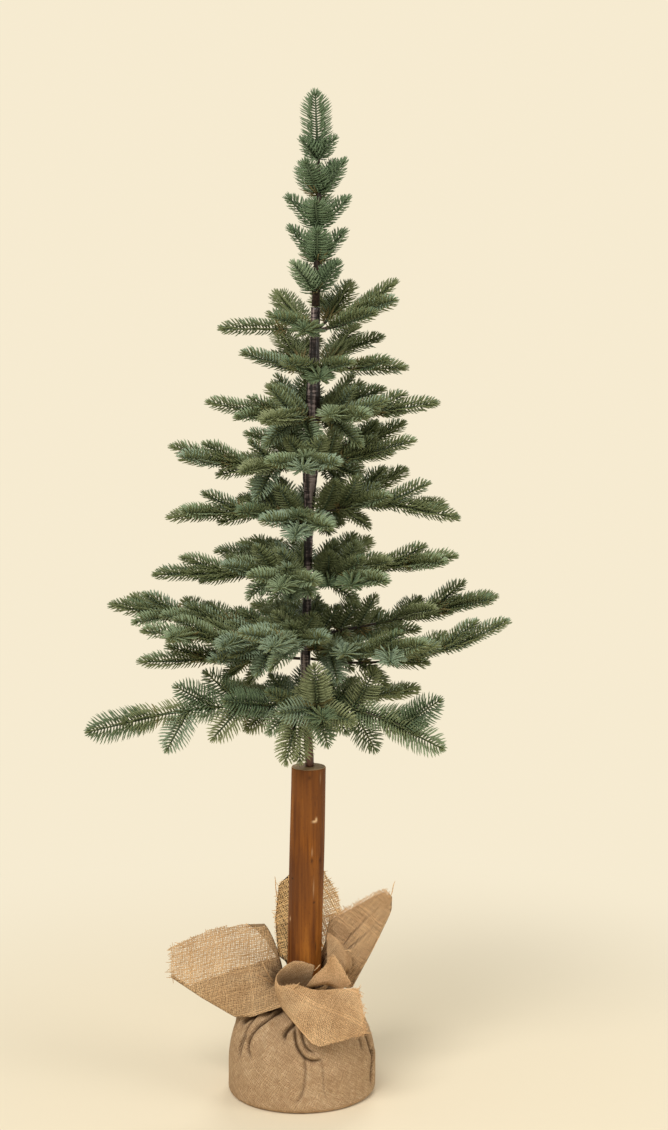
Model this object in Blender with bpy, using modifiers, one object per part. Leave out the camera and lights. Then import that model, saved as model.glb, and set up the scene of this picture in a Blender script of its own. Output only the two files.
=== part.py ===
"""An artificial alpine fir, 1.5 m tall.

A weighted base wrapped in burlap carries a length of real log. A slim wrapped pole stands on
the log, and wire boughs with moulded needle shoots stand out of the pole in rings. The cloth's
four corners fan out above the twine that ties it.

Metres, +Z up. The origin is the middle of the base's flat underside, +X is the side that the
pointed corner of the cloth leans to, and -Y is the front.
"""

import math
import random
from collections import namedtuple

import bmesh
import bpy
from mathutils import Matrix, Vector
from mathutils.bvhtree import BVHTree

GAP = 0.0003  # left between two pieces that touch
UP = Vector((0.0, 0.0, 1.0))

# The wrapped base
BALL_RADIUS = 0.112
BALL_FOOT_ROUND = 0.010
BALL_WALL_TOP = 0.045
NECK_RADIUS = 0.037
NECK_FOOT = 0.158
NECK_TOP = 0.172
BALL_SEGMENTS = 32

# The log trunk, which leans a little to +X
LOG_RADIUS = 0.026
LOG_FOOT = Vector((0.0018, 0.0, 0.0600))
LOG_TOP = Vector((0.0115, 0.0, 0.5037))
LOG_SEGMENTS = 28

# The twine round the neck
TWINE_RADIUS = 0.0018
TWINE_END_RADIUS = 0.0014
TWINE_HEIGHT = 0.1650
TWINE_TAILS = (
    ((-0.040, -0.012, 0.166), (-0.050, -0.024, 0.182), (-0.056, -0.030, 0.205)),
    ((-0.040, -0.012, 0.166), (-0.052, -0.022, 0.176), (-0.066, -0.028, 0.184)),
)

# The pole: height, how far it wanders to +X, and its radius with the wrapping
POLE_KNOTS = (
    (0.514, 0.0129, 0.0065),
    (0.596, 0.0079, 0.0068),
    (0.673, 0.0073, 0.0075),
    (0.791, 0.0104, 0.0058),
    (0.883, 0.0128, 0.0068),
    (0.915, 0.0138, 0.0085),
    (0.945, 0.0148, 0.0112),
    (1.020, 0.0178, 0.0100),
    (1.060, 0.0190, 0.0105),
    (1.100, 0.0199, 0.0085),
    (1.140, 0.0214, 0.0070),
    (1.190, 0.0229, 0.0068),
)
POLE_FOOT_SHIFT = 0.0013

# The top section: a wire that carries its own shoots
LEADER_KNOTS = (
    (1.1903, 0.0229, 0.0060),
    (1.260, 0.0252, 0.0045),
    (1.351, 0.0280, 0.0032),
    (1.420, 0.0262, 0.0026),
)
LEADER_TIP = Vector((0.0224, 0.0, 1.5016))
LEADER_SINK = 0.010  # how far the upright shoot's root lies inside the wire
# height, azimuths, and how far the shoots of that ring reach and rise
LEADER_RINGS = (
    (1.211, (40, 130, 215, 325), 0.043, 0.048),
    (1.254, (5, 95, 185, 275), 0.046, 0.050),
    (1.303, (3, 80, 185, 260), 0.050, 0.048),
    (1.351, (35, 120, 210, 300), 0.046, 0.050),
    (1.403, (90, 205, 335), 0.031, 0.034),
)
RING_HEIGHT_JITTER = 0.004

# A needle shoot
SHOOT_LENGTH = 0.080
SIDE_SHOOT_LENGTH = 0.070
SHOOT_HALF_WIDTH = 0.019
SHOOT_HALF_THICKNESS = 0.014
SHOOT_TEETH = 3
FIRST_TOOTH = 0.30  # this and the pitch are shares of a shoot's length
TOOTH_PITCH = 0.26
TOOTH_SWEEP = 0.60  # how far a tooth reaches back, as a share of the pitch
SHOOT_ROOT = 0.0008
SHOOT_CORE = 0.55
SHOOT_SINK = 0.001  # how far a shoot's root lies inside its wire
TURN_JITTER = 8
ANGLE_JITTER = 6
LENGTH_JITTER = 0.06
SWELL = 0.0004  # how much larger a placed shape counts as
OWN_SPACING = 0.038  # between the outer halves of two shoots of one mass

# A bough: a wire of this radius at the pole and at its outer end
BOUGH_ROOT_RADIUS = 0.0022
BOUGH_END_RADIUS = 0.0015
BOUGH_STATIONS = 5
SHORTEST_STEM = 0.02
STEM_IN_TIP = 0.2  # the share of the last shoot that the wire runs into
LONGEST_TIP = 0.85  # the last shoot's length, as a share of a short bough
LIMB_END = 0.012  # from the end of a bare limb to its first shoot
NODE_STEP = 0.040
FIRST_NODE = 0.95  # from the tip, in shoot lengths
SHORTEST_SHOOT = 0.030
# The shoots of one node after another: the turn round the wire, 90 on top, and the angle to it
NODE_TURNS = (
    ((6, 44), (174, 44)),
    ((90, 20),),
    ((12, 50), (168, 50)),
    ((30, 38), (206, 36)),
)
FRONT = Vector((0.0, -1.0, 0.0))
MOST_FORWARD = 0.85  # a shoot that points further forward than this can't face the front
BARE = 0.030  # the stretch next to the pole with no shoots

Bough = namedtuple("Bough", "name height azimuth reach rise arch roll spread bare own_limb")


def bough(azimuth, reach, rise, arch=0.0, roll=0.0, spread=0.0, bare=BARE, own_limb=False):
    """One bough of a ring. arch lifts its middle, roll turns the plane of its side shoots, and
    spread opens them further."""
    return azimuth, reach, rise, arch, roll, spread, bare, own_limb


RINGS = (
    (6, 1.156, (
        bough(5, 0.128, 0.062),
        bough(64, 0.125, 0.062),
        bough(118, 0.128, 0.050),
        bough(180, 0.142, 0.003),
        bough(262, 0.120, 0.016),
        bough(330, 0.105, 0.026),
    )),
    (7, 1.094, (
        bough(2, 0.139, 0.003, arch=0.010),
        bough(62, 0.135, 0.062),
        bough(115, 0.130, 0.056),
        bough(197, 0.112, 0.030),
        bough(275, 0.130, 0.016),
    )),
    (8, 1.027, (
        bough(358, 0.187, 0.022),
        bough(60, 0.150, 0.040),
        bough(115, 0.150, 0.038),
        bough(180, 0.158, 0.019),
        bough(243, 0.150, 0.020),
        bough(302, 0.150, 0.022),
    )),
    (9, 0.960, (
        bough(346, 0.160, 0.034),
        bough(32, 0.170, 0.050),
        bough(110, 0.170, 0.040),
        bough(180, 0.210, 0.020, arch=-0.022),
        bough(266, 0.170, 0.020),
    )),
    (10, 0.883, (
        bough(358, 0.223, -0.006, arch=0.038),
        bough(42, 0.200, 0.054),
        bough(118, 0.190, 0.028),
        bough(180, 0.211, -0.004, arch=0.010),
        bough(264, 0.180, 0.004),
    )),
    (11, 0.791, (
        bough(2, 0.224, 0.032),
        bough(62, 0.200, 0.032),
        bough(120, 0.210, 0.024),
        bough(178, 0.231, 0.000, arch=0.008),
        bough(258, 0.190, 0.024),
        bough(310, 0.180, 0.018),
    )),
    (12, 0.702, (
        bough(12, 0.296, 0.052, arch=0.006, bare=0.100, own_limb=True),
        bough(98, 0.260, 0.010),
        bough(172, 0.301, 0.038, arch=0.010),
        bough(258, 0.230, 0.034),
    )),
    (13, 0.684, (
        bough(55, 0.250, 0.000),
        bough(198, 0.252, 0.040, arch=0.008),
        bough(317, 0.240, 0.030, arch=-0.010),
    )),
    (14, 0.668, (
        bough(184, 0.250, -0.010, arch=0.012, bare=0.055, own_limb=True),
        bough(350, 0.307, 0.062, arch=-0.036, bare=0.110, own_limb=True),
    )),
    (15, 0.596, (
        bough(50, 0.270, -0.020),
        bough(118, 0.280, -0.020),
        bough(187, 0.329, -0.033, arch=0.022, roll=70),
        bough(244, 0.068, -0.078, arch=0.030),
        bough(280, 0.170, 0.024, roll=90),
        bough(335, 0.225, -0.046, arch=0.024, roll=88, spread=14),
    )),
)
SIDES = ("right", "back_right", "back", "back_left", "left", "front_left", "front", "front_right")

# The burlap's corners. Each grows from an arc of the neck, and its hem runs the same way round.
FLAP_THICKNESS = 0.0020
FLAP_SEAT = 0.0008  # the thickened rim dips a little below its middle line
FLAP_ROOT_RADIUS = 0.0342
FLAP_COLUMNS = 10
FLAP_ROWS = 5
Flap = namedtuple("Flap", "name arc hem lift fall")
FLAPS = (
    Flap(
        "burlap_left",
        (142, 218),
        ((-0.055, 0.030, 0.245), (-0.130, 0.022, 0.246), (-0.200, 0.012, 0.218),
         (-0.196, -0.006, 0.178), (-0.150, -0.026, 0.152), (-0.112, -0.034, 0.128)),
        0.030, 0.020,
    ),
    Flap(
        "burlap_back",
        (62, 132),
        ((0.066, 0.052, 0.236), (0.054, 0.060, 0.285), (0.028, 0.064, 0.322),
         (-0.010, 0.062, 0.318), (-0.036, 0.054, 0.292), (-0.040, 0.046, 0.240)),
        0.040, -0.050,
    ),
    Flap(
        "burlap_right",
        (-42, 50),
        ((0.088, -0.024, 0.176), (0.114, -0.018, 0.226), (0.138, -0.008, 0.292),
         (0.127, 0.002, 0.320), (0.092, 0.018, 0.300), (0.056, 0.030, 0.250)),
        0.030, -0.030,
    ),
    Flap(
        "burlap_front",
        (222, 312),
        ((-0.004, -0.118, 0.148), (0.029, -0.132, 0.112), (0.062, -0.130, 0.116),
         (0.097, -0.118, 0.126), (0.094, -0.104, 0.156), (0.090, -0.088, 0.184)),
        0.060, 0.074,
    ),
)

# Colours, as linear red, green and blue
BURLAP = (0.42, 0.28, 0.15)
TWINE = (0.55, 0.42, 0.28)
BARK = (0.23, 0.08, 0.02)
WRAPPING = (0.045, 0.025, 0.025)
NEEDLES = (0.055, 0.115, 0.075)


def clear_scene():
    for obj in list(bpy.data.objects):
        bpy.data.objects.remove(obj, do_unlink=True)


def new_collection(name):
    collection = bpy.data.collections.new(name)
    bpy.context.scene.collection.children.link(collection)
    return collection


def new_material(name, colour, roughness):
    material = bpy.data.materials.new(name)
    material.use_nodes = True
    shader = material.node_tree.nodes["Principled BSDF"]
    shader.inputs["Base Color"].default_value = (*colour, 1.0)
    shader.inputs["Roughness"].default_value = roughness
    shader.inputs["Metallic"].default_value = 0.0
    return material


def add_object(name, data, collection, material):
    obj = bpy.data.objects.new(name, data)
    data.materials.append(material)
    collection.objects.link(obj)
    return obj


def mesh_from(bm, name):
    bmesh.ops.recalc_face_normals(bm, faces=bm.faces)
    mesh = bpy.data.meshes.new(name)
    bm.to_mesh(mesh)
    bm.free()
    return mesh


def between(knots, height):
    """The values of a list of (height, value, ...) at a height, in straight steps."""
    for low, high in zip(knots, knots[1:]):
        if height <= high[0]:
            break
    share = (height - low[0]) / (high[0] - low[0])
    return [a + (b - a) * share for a, b in zip(low[1:], high[1:])]


def curve_point(ends, t):
    """A point of a Bezier curve through its first and last control point."""
    points = list(ends)
    while len(points) > 1:
        points = [a.lerp(b, t) for a, b in zip(points, points[1:])]
    return points[0]


def square_to(direction, guide):
    """The part of guide that is square to direction, as a unit vector."""
    return (guide - direction * guide.dot(direction)).normalized()


# The plan of the boughs and shoots

Shoot = namedtuple("Shoot", "root direction up length")
Mass = namedtuple("Mass", "name stem shoots")


def fullness(share):
    """How wide a shoot is at this share of its length, as a share of its greatest width."""
    if share < 0.35:
        return 1.0 - 0.45 * (1.0 - share / 0.35) ** 2
    if share < 0.60:
        return 1.0
    return 1.0 - 0.70 * ((share - 0.60) / 0.40) ** 2


class Clearance:
    """The real shapes of all that is placed, so that a new shoot can be kept clear of them."""

    def __init__(self):
        self.placed = []

    def add(self, owner, shape, axis=None):
        points, faces = shape
        centre = sum(points, Vector()) / len(points)
        reach = max((point - centre).length for point in points)
        self.placed.append((owner, centre, reach, BVHTree.FromPolygons(points, faces), axis))

    def allows(self, owner, shape, axis):
        """True where a shape crosses no other owner's, and its outer half isn't on one of its own."""
        points, faces = shape
        centre = sum(points, Vector()) / len(points)
        reach = max((point - centre).length for point in points)
        tree = BVHTree.FromPolygons(points, faces)
        for other, other_centre, other_reach, other_tree, other_axis in self.placed:
            if (centre - other_centre).length > reach + other_reach:
                continue
            if other != owner and tree.overlap(other_tree):
                return False
            if other == owner and other_axis and too_close(axis, other_axis):
                return False
        return True


def too_close(axis, other):
    """True where the outer halves of two shoots run along each other."""
    return any(
        (axis[0].lerp(axis[1], share) - other[0].lerp(other[1], share)).length < OWN_SPACING
        for share in (0.75, 1.0)
    )


def shoot_axis(shoot):
    return shoot.root, shoot.root + shoot.direction * shoot.length


def bough_curve(plan):
    """Control points from the pole's surface to the bough's tip."""
    x, radius = between(POLE_KNOTS, plan.height)
    angle = math.radians(plan.azimuth)
    out = Vector((math.cos(angle), math.sin(angle), 0.0))
    middle = out * plan.reach * 0.5 + UP * (plan.rise * 0.25 + plan.arch)
    slope = middle.normalized().z
    nearest_corner = BOUGH_ROOT_RADIUS * max(0.5 * slope, -slope)
    start = out * (radius + GAP + nearest_corner)
    centre = Vector((x, 0.0, plan.height))
    return [centre + start, centre + middle, centre + out * plan.reach + UP * plan.rise]


def curve_length(curve, start, end):
    steps = 24
    points = [curve_point(curve, start + (end - start) * k / steps) for k in range(steps + 1)]
    return sum((b - a).length for a, b in zip(points, points[1:]))


def share_at(curve, distance):
    """The curve's parameter at this distance from its start."""
    low, high = 0.0, 1.0
    for _ in range(24):
        middle = (low + high) / 2
        if curve_length(curve, 0.0, middle) < distance:
            low = middle
        else:
            high = middle
    return low


def tangent(curve, t):
    return (curve_point(curve, min(1.0, t + 0.01)) - curve_point(curve, max(0.0, t - 0.01))).normalized()


def flat_side(direction, rolled):
    """Which way a shoot's flat top faces: up, or to the front where its bough is rolled over."""
    if rolled and abs(direction.y) < MOST_FORWARD:
        return square_to(direction, FRONT + UP * 0.3)
    return square_to(direction, UP)


def leaning_shoot(curve, t, angle, turn, length, rolled, rng):
    """A shoot that leaves the curve at an angle. turn is its place round the curve, 90 on top."""
    along = tangent(curve, t)
    top = square_to(along, UP)
    side = along.cross(top)
    turn = math.radians(turn + rng.uniform(-TURN_JITTER, TURN_JITTER))
    angle = math.radians(angle + rng.uniform(-ANGLE_JITTER, ANGLE_JITTER))
    away = side * math.cos(turn) + top * math.sin(turn)
    direction = (along * math.cos(angle) + away * math.sin(angle)).normalized()
    root = curve_point(curve, t) - direction * SHOOT_SINK
    length *= rng.uniform(1.0 - LENGTH_JITTER, 1.0 + LENGTH_JITTER)
    return Shoot(root, direction, flat_side(direction, rolled), length)


def side_shoots(plan, curve, rng):
    """Candidates from the terminal shoot inwards: pairs, with raised and lowered ones between."""
    shoots = []
    total = curve_length(curve, 0.0, 1.0)
    distance = total - SHOOT_LENGTH * FIRST_NODE
    node = 0
    while distance > plan.bare:
        t = share_at(curve, distance)
        for turn, angle in NODE_TURNS[node % len(NODE_TURNS)]:
            length = min(SIDE_SHOOT_LENGTH, SHORTEST_SHOOT + distance)
            shoots.append(leaning_shoot(
                curve, t, angle + plan.spread, turn + plan.roll, length, plan.roll, rng
            ))
        distance -= NODE_STEP
        node += 1
    return shoots


def terminal_shoot(curve, rolled):
    """The shoot that ends a bough, with its point at the end of the curve."""
    total = curve_length(curve, 0.0, 1.0)
    length = min(SHOOT_LENGTH, total * LONGEST_TIP)
    root = curve_point(curve, share_at(curve, total - length))
    axis = curve[-1] - root
    direction = axis.normalized()
    return Shoot(root, direction, flat_side(direction, rolled), axis.length)


def stem_stations(curve, start, end):
    """Points and radii of the wire between two distances along the curve."""
    total = curve_length(curve, 0.0, 1.0)
    stations = []
    for k in range(BOUGH_STATIONS):
        distance = start + (end - start) * k / (BOUGH_STATIONS - 1)
        radius = BOUGH_ROOT_RADIUS + (BOUGH_END_RADIUS - BOUGH_ROOT_RADIUS) * distance / total
        stations.append((curve_point(curve, share_at(curve, distance)), radius))
    return stations


def leader_shoots():
    """The upright shoot at the top, then the rings below it."""
    rng = random.Random(7)
    height, x, _ = LEADER_KNOTS[-1]
    root = Vector((x, 0.0, height - LEADER_SINK))
    direction = (LEADER_TIP - root).normalized()
    shoots = [Shoot(root, direction, Vector((0.0, -1.0, 0.0)), (LEADER_TIP - root).length)]
    for height, azimuths, reach, rise in reversed(LEADER_RINGS):
        for azimuth in azimuths:
            angle = math.radians(azimuth + rng.uniform(-ANGLE_JITTER, ANGLE_JITTER))
            low = height + rng.uniform(-RING_HEIGHT_JITTER, RING_HEIGHT_JITTER)
            axis = Vector((math.cos(angle) * reach, math.sin(angle) * reach, rise))
            direction = axis.normalized()
            root = Vector((between(LEADER_KNOTS, low)[0], 0.0, low)) - direction * SHOOT_SINK
            shoots.append(Shoot(root, direction, square_to(direction, UP), axis.length))
    return shoots


def side_name(azimuth):
    return SIDES[round(azimuth / 45) % 8]


def bough_plans():
    return [
        Bough(f"{ring:02d}_{side_name(row[0])}", height, *row)
        for ring, height, rows in RINGS
        for row in rows
    ]


def place_shoot(mass, shoot, clearance):
    mass.shoots.append(shoot)
    clearance.add(mass.name, shoot_shape(shoot, SWELL), shoot_axis(shoot))


def start_mass(plan, curve, clearance, limbs):
    """A mass with its stem and its last shoot. A long bare stretch becomes a limb of its own."""
    end = curve_length(curve, 0.0, 1.0) - SHOOT_LENGTH * (1.0 - STEM_IN_TIP)
    end = max(end, SHORTEST_STEM)
    start = 0.0
    if plan.own_limb:
        start = plan.bare - LIMB_END
        limbs.append((f"bough_{plan.name}", stem_stations(curve, 0.0, start - GAP)))
    mass = Mass(f"foliage_{plan.name}", stem_stations(curve, start, end), [])
    wire = [(point, radius + SWELL) for point, radius in stem_stations(curve, 0.0, end)]
    clearance.add(mass.name, wire_shape(wire))
    tip = terminal_shoot(curve, plan.roll)
    if not clearance.allows(mass.name, shoot_shape(tip), shoot_axis(tip)):
        print("the last shoot of", mass.name, "crosses another piece")
    place_shoot(mass, tip, clearance)
    return mass


def fill_masses(plans, masses, clearance):
    """Adds side shoots to each mass in turn, from the tips inwards, where there is room."""
    candidates = [
        side_shoots(plan, bough_curve(plan), random.Random(100 + number))
        for number, plan in enumerate(plans)
    ]
    for turn in range(max(len(row) for row in candidates)):
        for row, mass in zip(candidates, masses):
            if turn >= len(row):
                continue
            shoot = row[turn]
            if clearance.allows(mass.name, shoot_shape(shoot), shoot_axis(shoot)):
                place_shoot(mass, shoot, clearance)


def plan_tree():
    """Every foliage mass with its stem and shoots, and the limbs that stay bare."""
    clearance = Clearance()
    pole = [(Vector((x, 0.0, height)), radius + SWELL) for height, x, radius in POLE_KNOTS]
    clearance.add("pole", wire_shape(pole, 8))
    log = [(LOG_FOOT, LOG_RADIUS), (LOG_TOP, LOG_RADIUS)]
    clearance.add("log", wire_shape(log, 12))
    top_stem = [(Vector((x, 0.0, height)), radius) for height, x, radius in LEADER_KNOTS]
    top = Mass("tree_top", top_stem, [])
    for shoot in leader_shoots():
        place_shoot(top, shoot, clearance)
    plans = bough_plans()
    limbs = []
    masses = [start_mass(plan, bough_curve(plan), clearance, limbs) for plan in plans]
    fill_masses(plans, masses, clearance)
    return [top] + masses, limbs


# The shapes of the boughs and shoots


def ring_points(centre, side, up, width, thickness, first_angle, corners=3):
    points = []
    for corner in range(corners):
        angle = math.radians(first_angle + 360 / corners * corner)
        points.append(centre + side * width * math.cos(angle) + up * thickness * math.sin(angle))
    return points


def loft(rings, apex=None):
    """Points and faces of a closed shape through rings. A turned ring joins as a zigzag."""
    count = len(rings[0][0])
    points = [point for ring, _ in rings for point in ring]
    faces = [tuple(reversed(range(count)))]
    for number, (_, turned) in enumerate(rings[1:]):
        low, high = number * count, (number + 1) * count
        for k in range(count):
            following = (k + 1) % count
            if turned:
                faces.append((low + k, low + following, high + k))
                faces.append((high + k, low + following, high + following))
            else:
                faces.append((low + k, low + following, high + following, high + k))
    last = len(points) - count
    if apex is None:
        faces.append(tuple(range(last, last + count)))
    else:
        points.append(apex)
        faces += [(last + k, last + (k + 1) % count, len(points) - 1) for k in range(count)]
    return points, faces


def shoot_shape(shoot, swell=0.0):
    """A spindle with rows of teeth that point forwards, each row turned against the one before."""
    side = shoot.direction.cross(shoot.up)
    scale = min(1.0, shoot.length / SIDE_SHOOT_LENGTH)
    width = SHOOT_HALF_WIDTH * scale / math.cos(math.radians(30))
    thickness = SHOOT_HALF_THICKNESS * scale
    rings = []
    for tooth in range(SHOOT_TEETH):
        tip = FIRST_TOOTH + TOOTH_PITCH * tooth
        foot = tip - TOOTH_PITCH * TOOTH_SWEEP if tooth else 0.0
        core = SHOOT_CORE * fullness(foot) if tooth else SHOOT_ROOT / width
        for share, size, turned in ((foot, core, tooth > 0), (tip, fullness(tip), False)):
            ring = ring_points(
                shoot.root + shoot.direction * shoot.length * share,
                side,
                shoot.up,
                width * size + swell,
                thickness * size + swell,
                90 + 60 * tooth,
            )
            rings.append((ring, turned))
    return loft(rings, shoot.root + shoot.direction * (shoot.length + swell))


def wire_shape(stations, corners=3):
    """A wire or rod through (point, radius) stations."""
    rings = []
    for number, (point, radius) in enumerate(stations):
        before = stations[max(0, number - 1)][0]
        after = stations[min(len(stations) - 1, number + 1)][0]
        along = (after - before).normalized()
        up = square_to(along, UP if abs(along.z) < 0.9 else Vector((0.0, 1.0, 0.0)))
        rings.append((ring_points(point, along.cross(up), up, radius, radius, 90, corners), False))
    return loft(rings)


def shape_mesh(shape, name):
    bm = bmesh.new()
    points, faces = shape
    verts = [bm.verts.new(point) for point in points]
    for face in faces:
        bm.faces.new([verts[number] for number in face])
    bmesh.ops.triangulate(bm, faces=bm.faces)
    return mesh_from(bm, name)


def keep_largest(mesh):
    """Leaves the part with the most points, and so drops sealed hollows and loose scraps."""
    bm = bmesh.new()
    bm.from_mesh(mesh)
    waiting = set(bm.verts)
    islands = []
    while waiting:
        reached = [waiting.pop()]
        island = set(reached)
        while reached:
            for edge in reached.pop().link_edges:
                fresh = [vert for vert in edge.verts if vert in waiting]
                waiting.difference_update(fresh)
                island.update(fresh)
                reached += fresh
        islands.append(island)
    largest = max(islands, key=len)
    for island in islands:
        if island is not largest:
            bmesh.ops.delete(bm, geom=list(island), context="VERTS")
    bm.to_mesh(mesh)
    bm.free()


def fuse(name, meshes, collection, material):
    """One object that is the union of all the meshes."""
    body = add_object(name, meshes[0], collection, material)
    others = new_collection(name + "_pieces")
    for mesh in meshes[1:]:
        others.objects.link(bpy.data.objects.new("piece", mesh))
    joint = body.modifiers.new("join", "BOOLEAN")
    joint.operation = "UNION"
    joint.solver = "EXACT"
    joint.operand_type = "COLLECTION"
    joint.collection = others
    evaluated = body.evaluated_get(bpy.context.evaluated_depsgraph_get())
    joined = bpy.data.meshes.new_from_object(evaluated)
    body.modifiers.remove(joint)
    body.data = joined
    for piece in list(others.objects):
        bpy.data.objects.remove(piece, do_unlink=True)
    bpy.data.collections.remove(others)
    keep_largest(joined)
    return body


def make_foliage(collection, needles, wire):
    masses, limbs = plan_tree()
    for mass in masses:
        meshes = [shape_mesh(wire_shape(mass.stem), "wire")]
        meshes += [shape_mesh(shoot_shape(shoot), "shoot") for shoot in mass.shoots]
        fuse(mass.name, meshes, collection, needles)
    for name, stations in limbs:
        add_object(name, shape_mesh(wire_shape(stations), name), collection, wire)
    print("shoots", sum(len(mass.shoots) for mass in masses))


# The base, the log and the pole


def turned_profile(name, points, collection, material):
    """A solid of revolution about Z from (radius, height) points, top to bottom."""
    bm = bmesh.new()
    verts = [bm.verts.new((radius, 0.0, height)) for radius, height in points]
    for a, b in zip(verts, verts[1:]):
        bm.edges.new((a, b))
    mesh = bpy.data.meshes.new(name)
    bm.to_mesh(mesh)
    bm.free()
    obj = add_object(name, mesh, collection, material)
    screw = obj.modifiers.new("turn", "SCREW")
    screw.steps = BALL_SEGMENTS
    screw.render_steps = BALL_SEGMENTS
    screw.use_merge_vertices = True
    screw.merge_threshold = 0.0001
    return obj


def ball_profile():
    points = [(0.0, NECK_TOP), (NECK_RADIUS, NECK_TOP)]
    shoulder_steps = 6
    for step in range(shoulder_steps + 1):
        angle = math.radians(90 * step / shoulder_steps)
        radius = NECK_RADIUS + (BALL_RADIUS - NECK_RADIUS) * math.sin(angle)
        height = BALL_WALL_TOP + (NECK_FOOT - BALL_WALL_TOP) * math.cos(angle)
        points.append((radius, height))
    foot_steps = 3
    for step in range(foot_steps + 1):
        angle = math.radians(90 * step / foot_steps)
        radius = BALL_RADIUS - BALL_FOOT_ROUND * (1 - math.cos(angle))
        height = BALL_FOOT_ROUND * (1 - math.sin(angle))
        points.append((radius, height))
    points.append((0.0, 0.0))
    return points


def leaning_cylinder(name, foot, top, radius, segments):
    axis = top - foot
    bm = bmesh.new()
    bmesh.ops.create_cone(
        bm, cap_ends=True, segments=segments, radius1=radius, radius2=radius, depth=axis.length
    )
    turn = axis.to_track_quat("Z", "Y").to_matrix().to_4x4()
    bmesh.ops.transform(bm, matrix=Matrix.Translation((foot + top) / 2) @ turn, verts=bm.verts)
    return mesh_from(bm, name)


def make_ball(collection, cutters, burlap):
    """The wrapped base, with a socket in its neck for the log."""
    ball = turned_profile("root_ball", ball_profile(), collection, burlap)
    lean = (LOG_TOP - LOG_FOOT).normalized()
    mesh = leaning_cylinder(
        "log_socket", LOG_FOOT - lean * GAP, LOG_TOP, LOG_RADIUS + GAP, LOG_SEGMENTS
    )
    socket = add_object("log_socket", mesh, cutters, burlap)
    socket.hide_render = True
    socket.display_type = "WIRE"
    cut = ball.modifiers.new("socket", "BOOLEAN")
    cut.operation = "DIFFERENCE"
    cut.object = socket


def make_log(collection, bark):
    mesh = leaning_cylinder("wooden_trunk", LOG_FOOT, LOG_TOP, LOG_RADIUS, LOG_SEGMENTS)
    add_object("wooden_trunk", mesh, collection, bark)


def tube(name, points, radii, collection, material, resolution):
    """A curve through the points with a round section of the given radii and filled ends."""
    curve = bpy.data.curves.new(name, "CURVE")
    curve.dimensions = "3D"
    curve.bevel_depth = max(radii)
    curve.bevel_resolution = resolution
    curve.use_fill_caps = True
    spline = curve.splines.new("POLY")
    spline.points.add(len(points) - 1)
    for knot, point, radius in zip(spline.points, points, radii):
        knot.co = (*point, 1.0)
        knot.radius = radius / max(radii)
    return add_object(name, curve, collection, material)


def make_pole(collection, wrapping):
    """The pole stands square on the log's cut top, then wanders as it rises."""
    lean = (LOG_TOP - LOG_FOOT).normalized()
    foot = LOG_TOP + Vector((POLE_FOOT_SHIFT, 0.0, 0.0)) + lean * GAP
    points = [foot] + [Vector((x, 0.0, height)) for height, x, _ in POLE_KNOTS]
    radii = [POLE_KNOTS[0][2]] + [radius for _, _, radius in POLE_KNOTS]
    tube("upper_pole", points, radii, collection, wrapping, 3)


def as_mesh(obj):
    """The curve's own mesh, with its caps welded. The curve is removed."""
    evaluated = obj.evaluated_get(bpy.context.evaluated_depsgraph_get())
    mesh = bpy.data.meshes.new_from_object(evaluated)
    bpy.data.objects.remove(obj, do_unlink=True)
    bm = bmesh.new()
    bm.from_mesh(mesh)
    bmesh.ops.remove_doubles(bm, verts=bm.verts, dist=0.00001)
    bm.to_mesh(mesh)
    bm.free()
    return mesh


def make_tie(collection, twine):
    """A turn of twine round the neck, with two short ends."""
    bpy.ops.mesh.primitive_torus_add(
        major_segments=24,
        minor_segments=5,
        major_radius=NECK_RADIUS + GAP + TWINE_RADIUS,
        minor_radius=TWINE_RADIUS,
    )
    ring = bpy.context.object
    mesh = ring.data
    bpy.data.objects.remove(ring, do_unlink=True)
    mesh.transform(Matrix.Translation((0.0, 0.0, TWINE_HEIGHT)))
    meshes = [mesh]
    for points in TWINE_TAILS:
        tail = tube("tail", points, [TWINE_END_RADIUS] * len(points), collection, twine, 0)
        meshes.append(as_mesh(tail))
    fuse("twine_tie", meshes, collection, twine)


def along_points(points, share):
    """A point at this share of the way along a row of points, each stretch counted the same."""
    place = share * (len(points) - 1)
    number = min(int(place), len(points) - 2)
    return Vector(points[number]).lerp(Vector(points[number + 1]), place - number)


def make_flap(flap, collection, burlap):
    """A sheet from an arc of the neck to the hem, thickened both ways."""
    first, last = flap.arc
    bm = bmesh.new()
    bmesh.ops.create_grid(bm, x_segments=FLAP_COLUMNS, y_segments=FLAP_ROWS, size=0.5)
    for vert in bm.verts:
        across, down = vert.co.x + 0.5, vert.co.y + 0.5
        angle = math.radians(first + (last - first) * across)
        root = Vector((math.cos(angle), math.sin(angle), 0.0)) * FLAP_ROOT_RADIUS
        root.z = NECK_TOP + FLAP_SEAT
        hem = along_points(flap.hem, across)
        controls = [root, root + UP * flap.lift, hem + UP * flap.fall, hem]
        vert.co = curve_point(controls, down)
    mesh = mesh_from(bm, flap.name)
    obj = add_object(flap.name, mesh, collection, burlap)
    thicken = obj.modifiers.new("thickness", "SOLIDIFY")
    thicken.thickness = FLAP_THICKNESS
    thicken.offset = 0.0


def main():
    clear_scene()
    fir = new_collection("alpine_fir")
    cutters = new_collection("cutters")
    burlap = new_material("burlap", BURLAP, 0.95)
    make_ball(fir, cutters, burlap)
    make_log(fir, new_material("bark", BARK, 0.70))
    make_tie(fir, new_material("twine", TWINE, 0.90))
    for flap in FLAPS:
        make_flap(flap, fir, burlap)
    wrapping = new_material("wrapping", WRAPPING, 0.45)
    make_pole(fir, wrapping)
    make_foliage(fir, new_material("needles", NEEDLES, 0.60), wrapping)


main()
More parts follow.
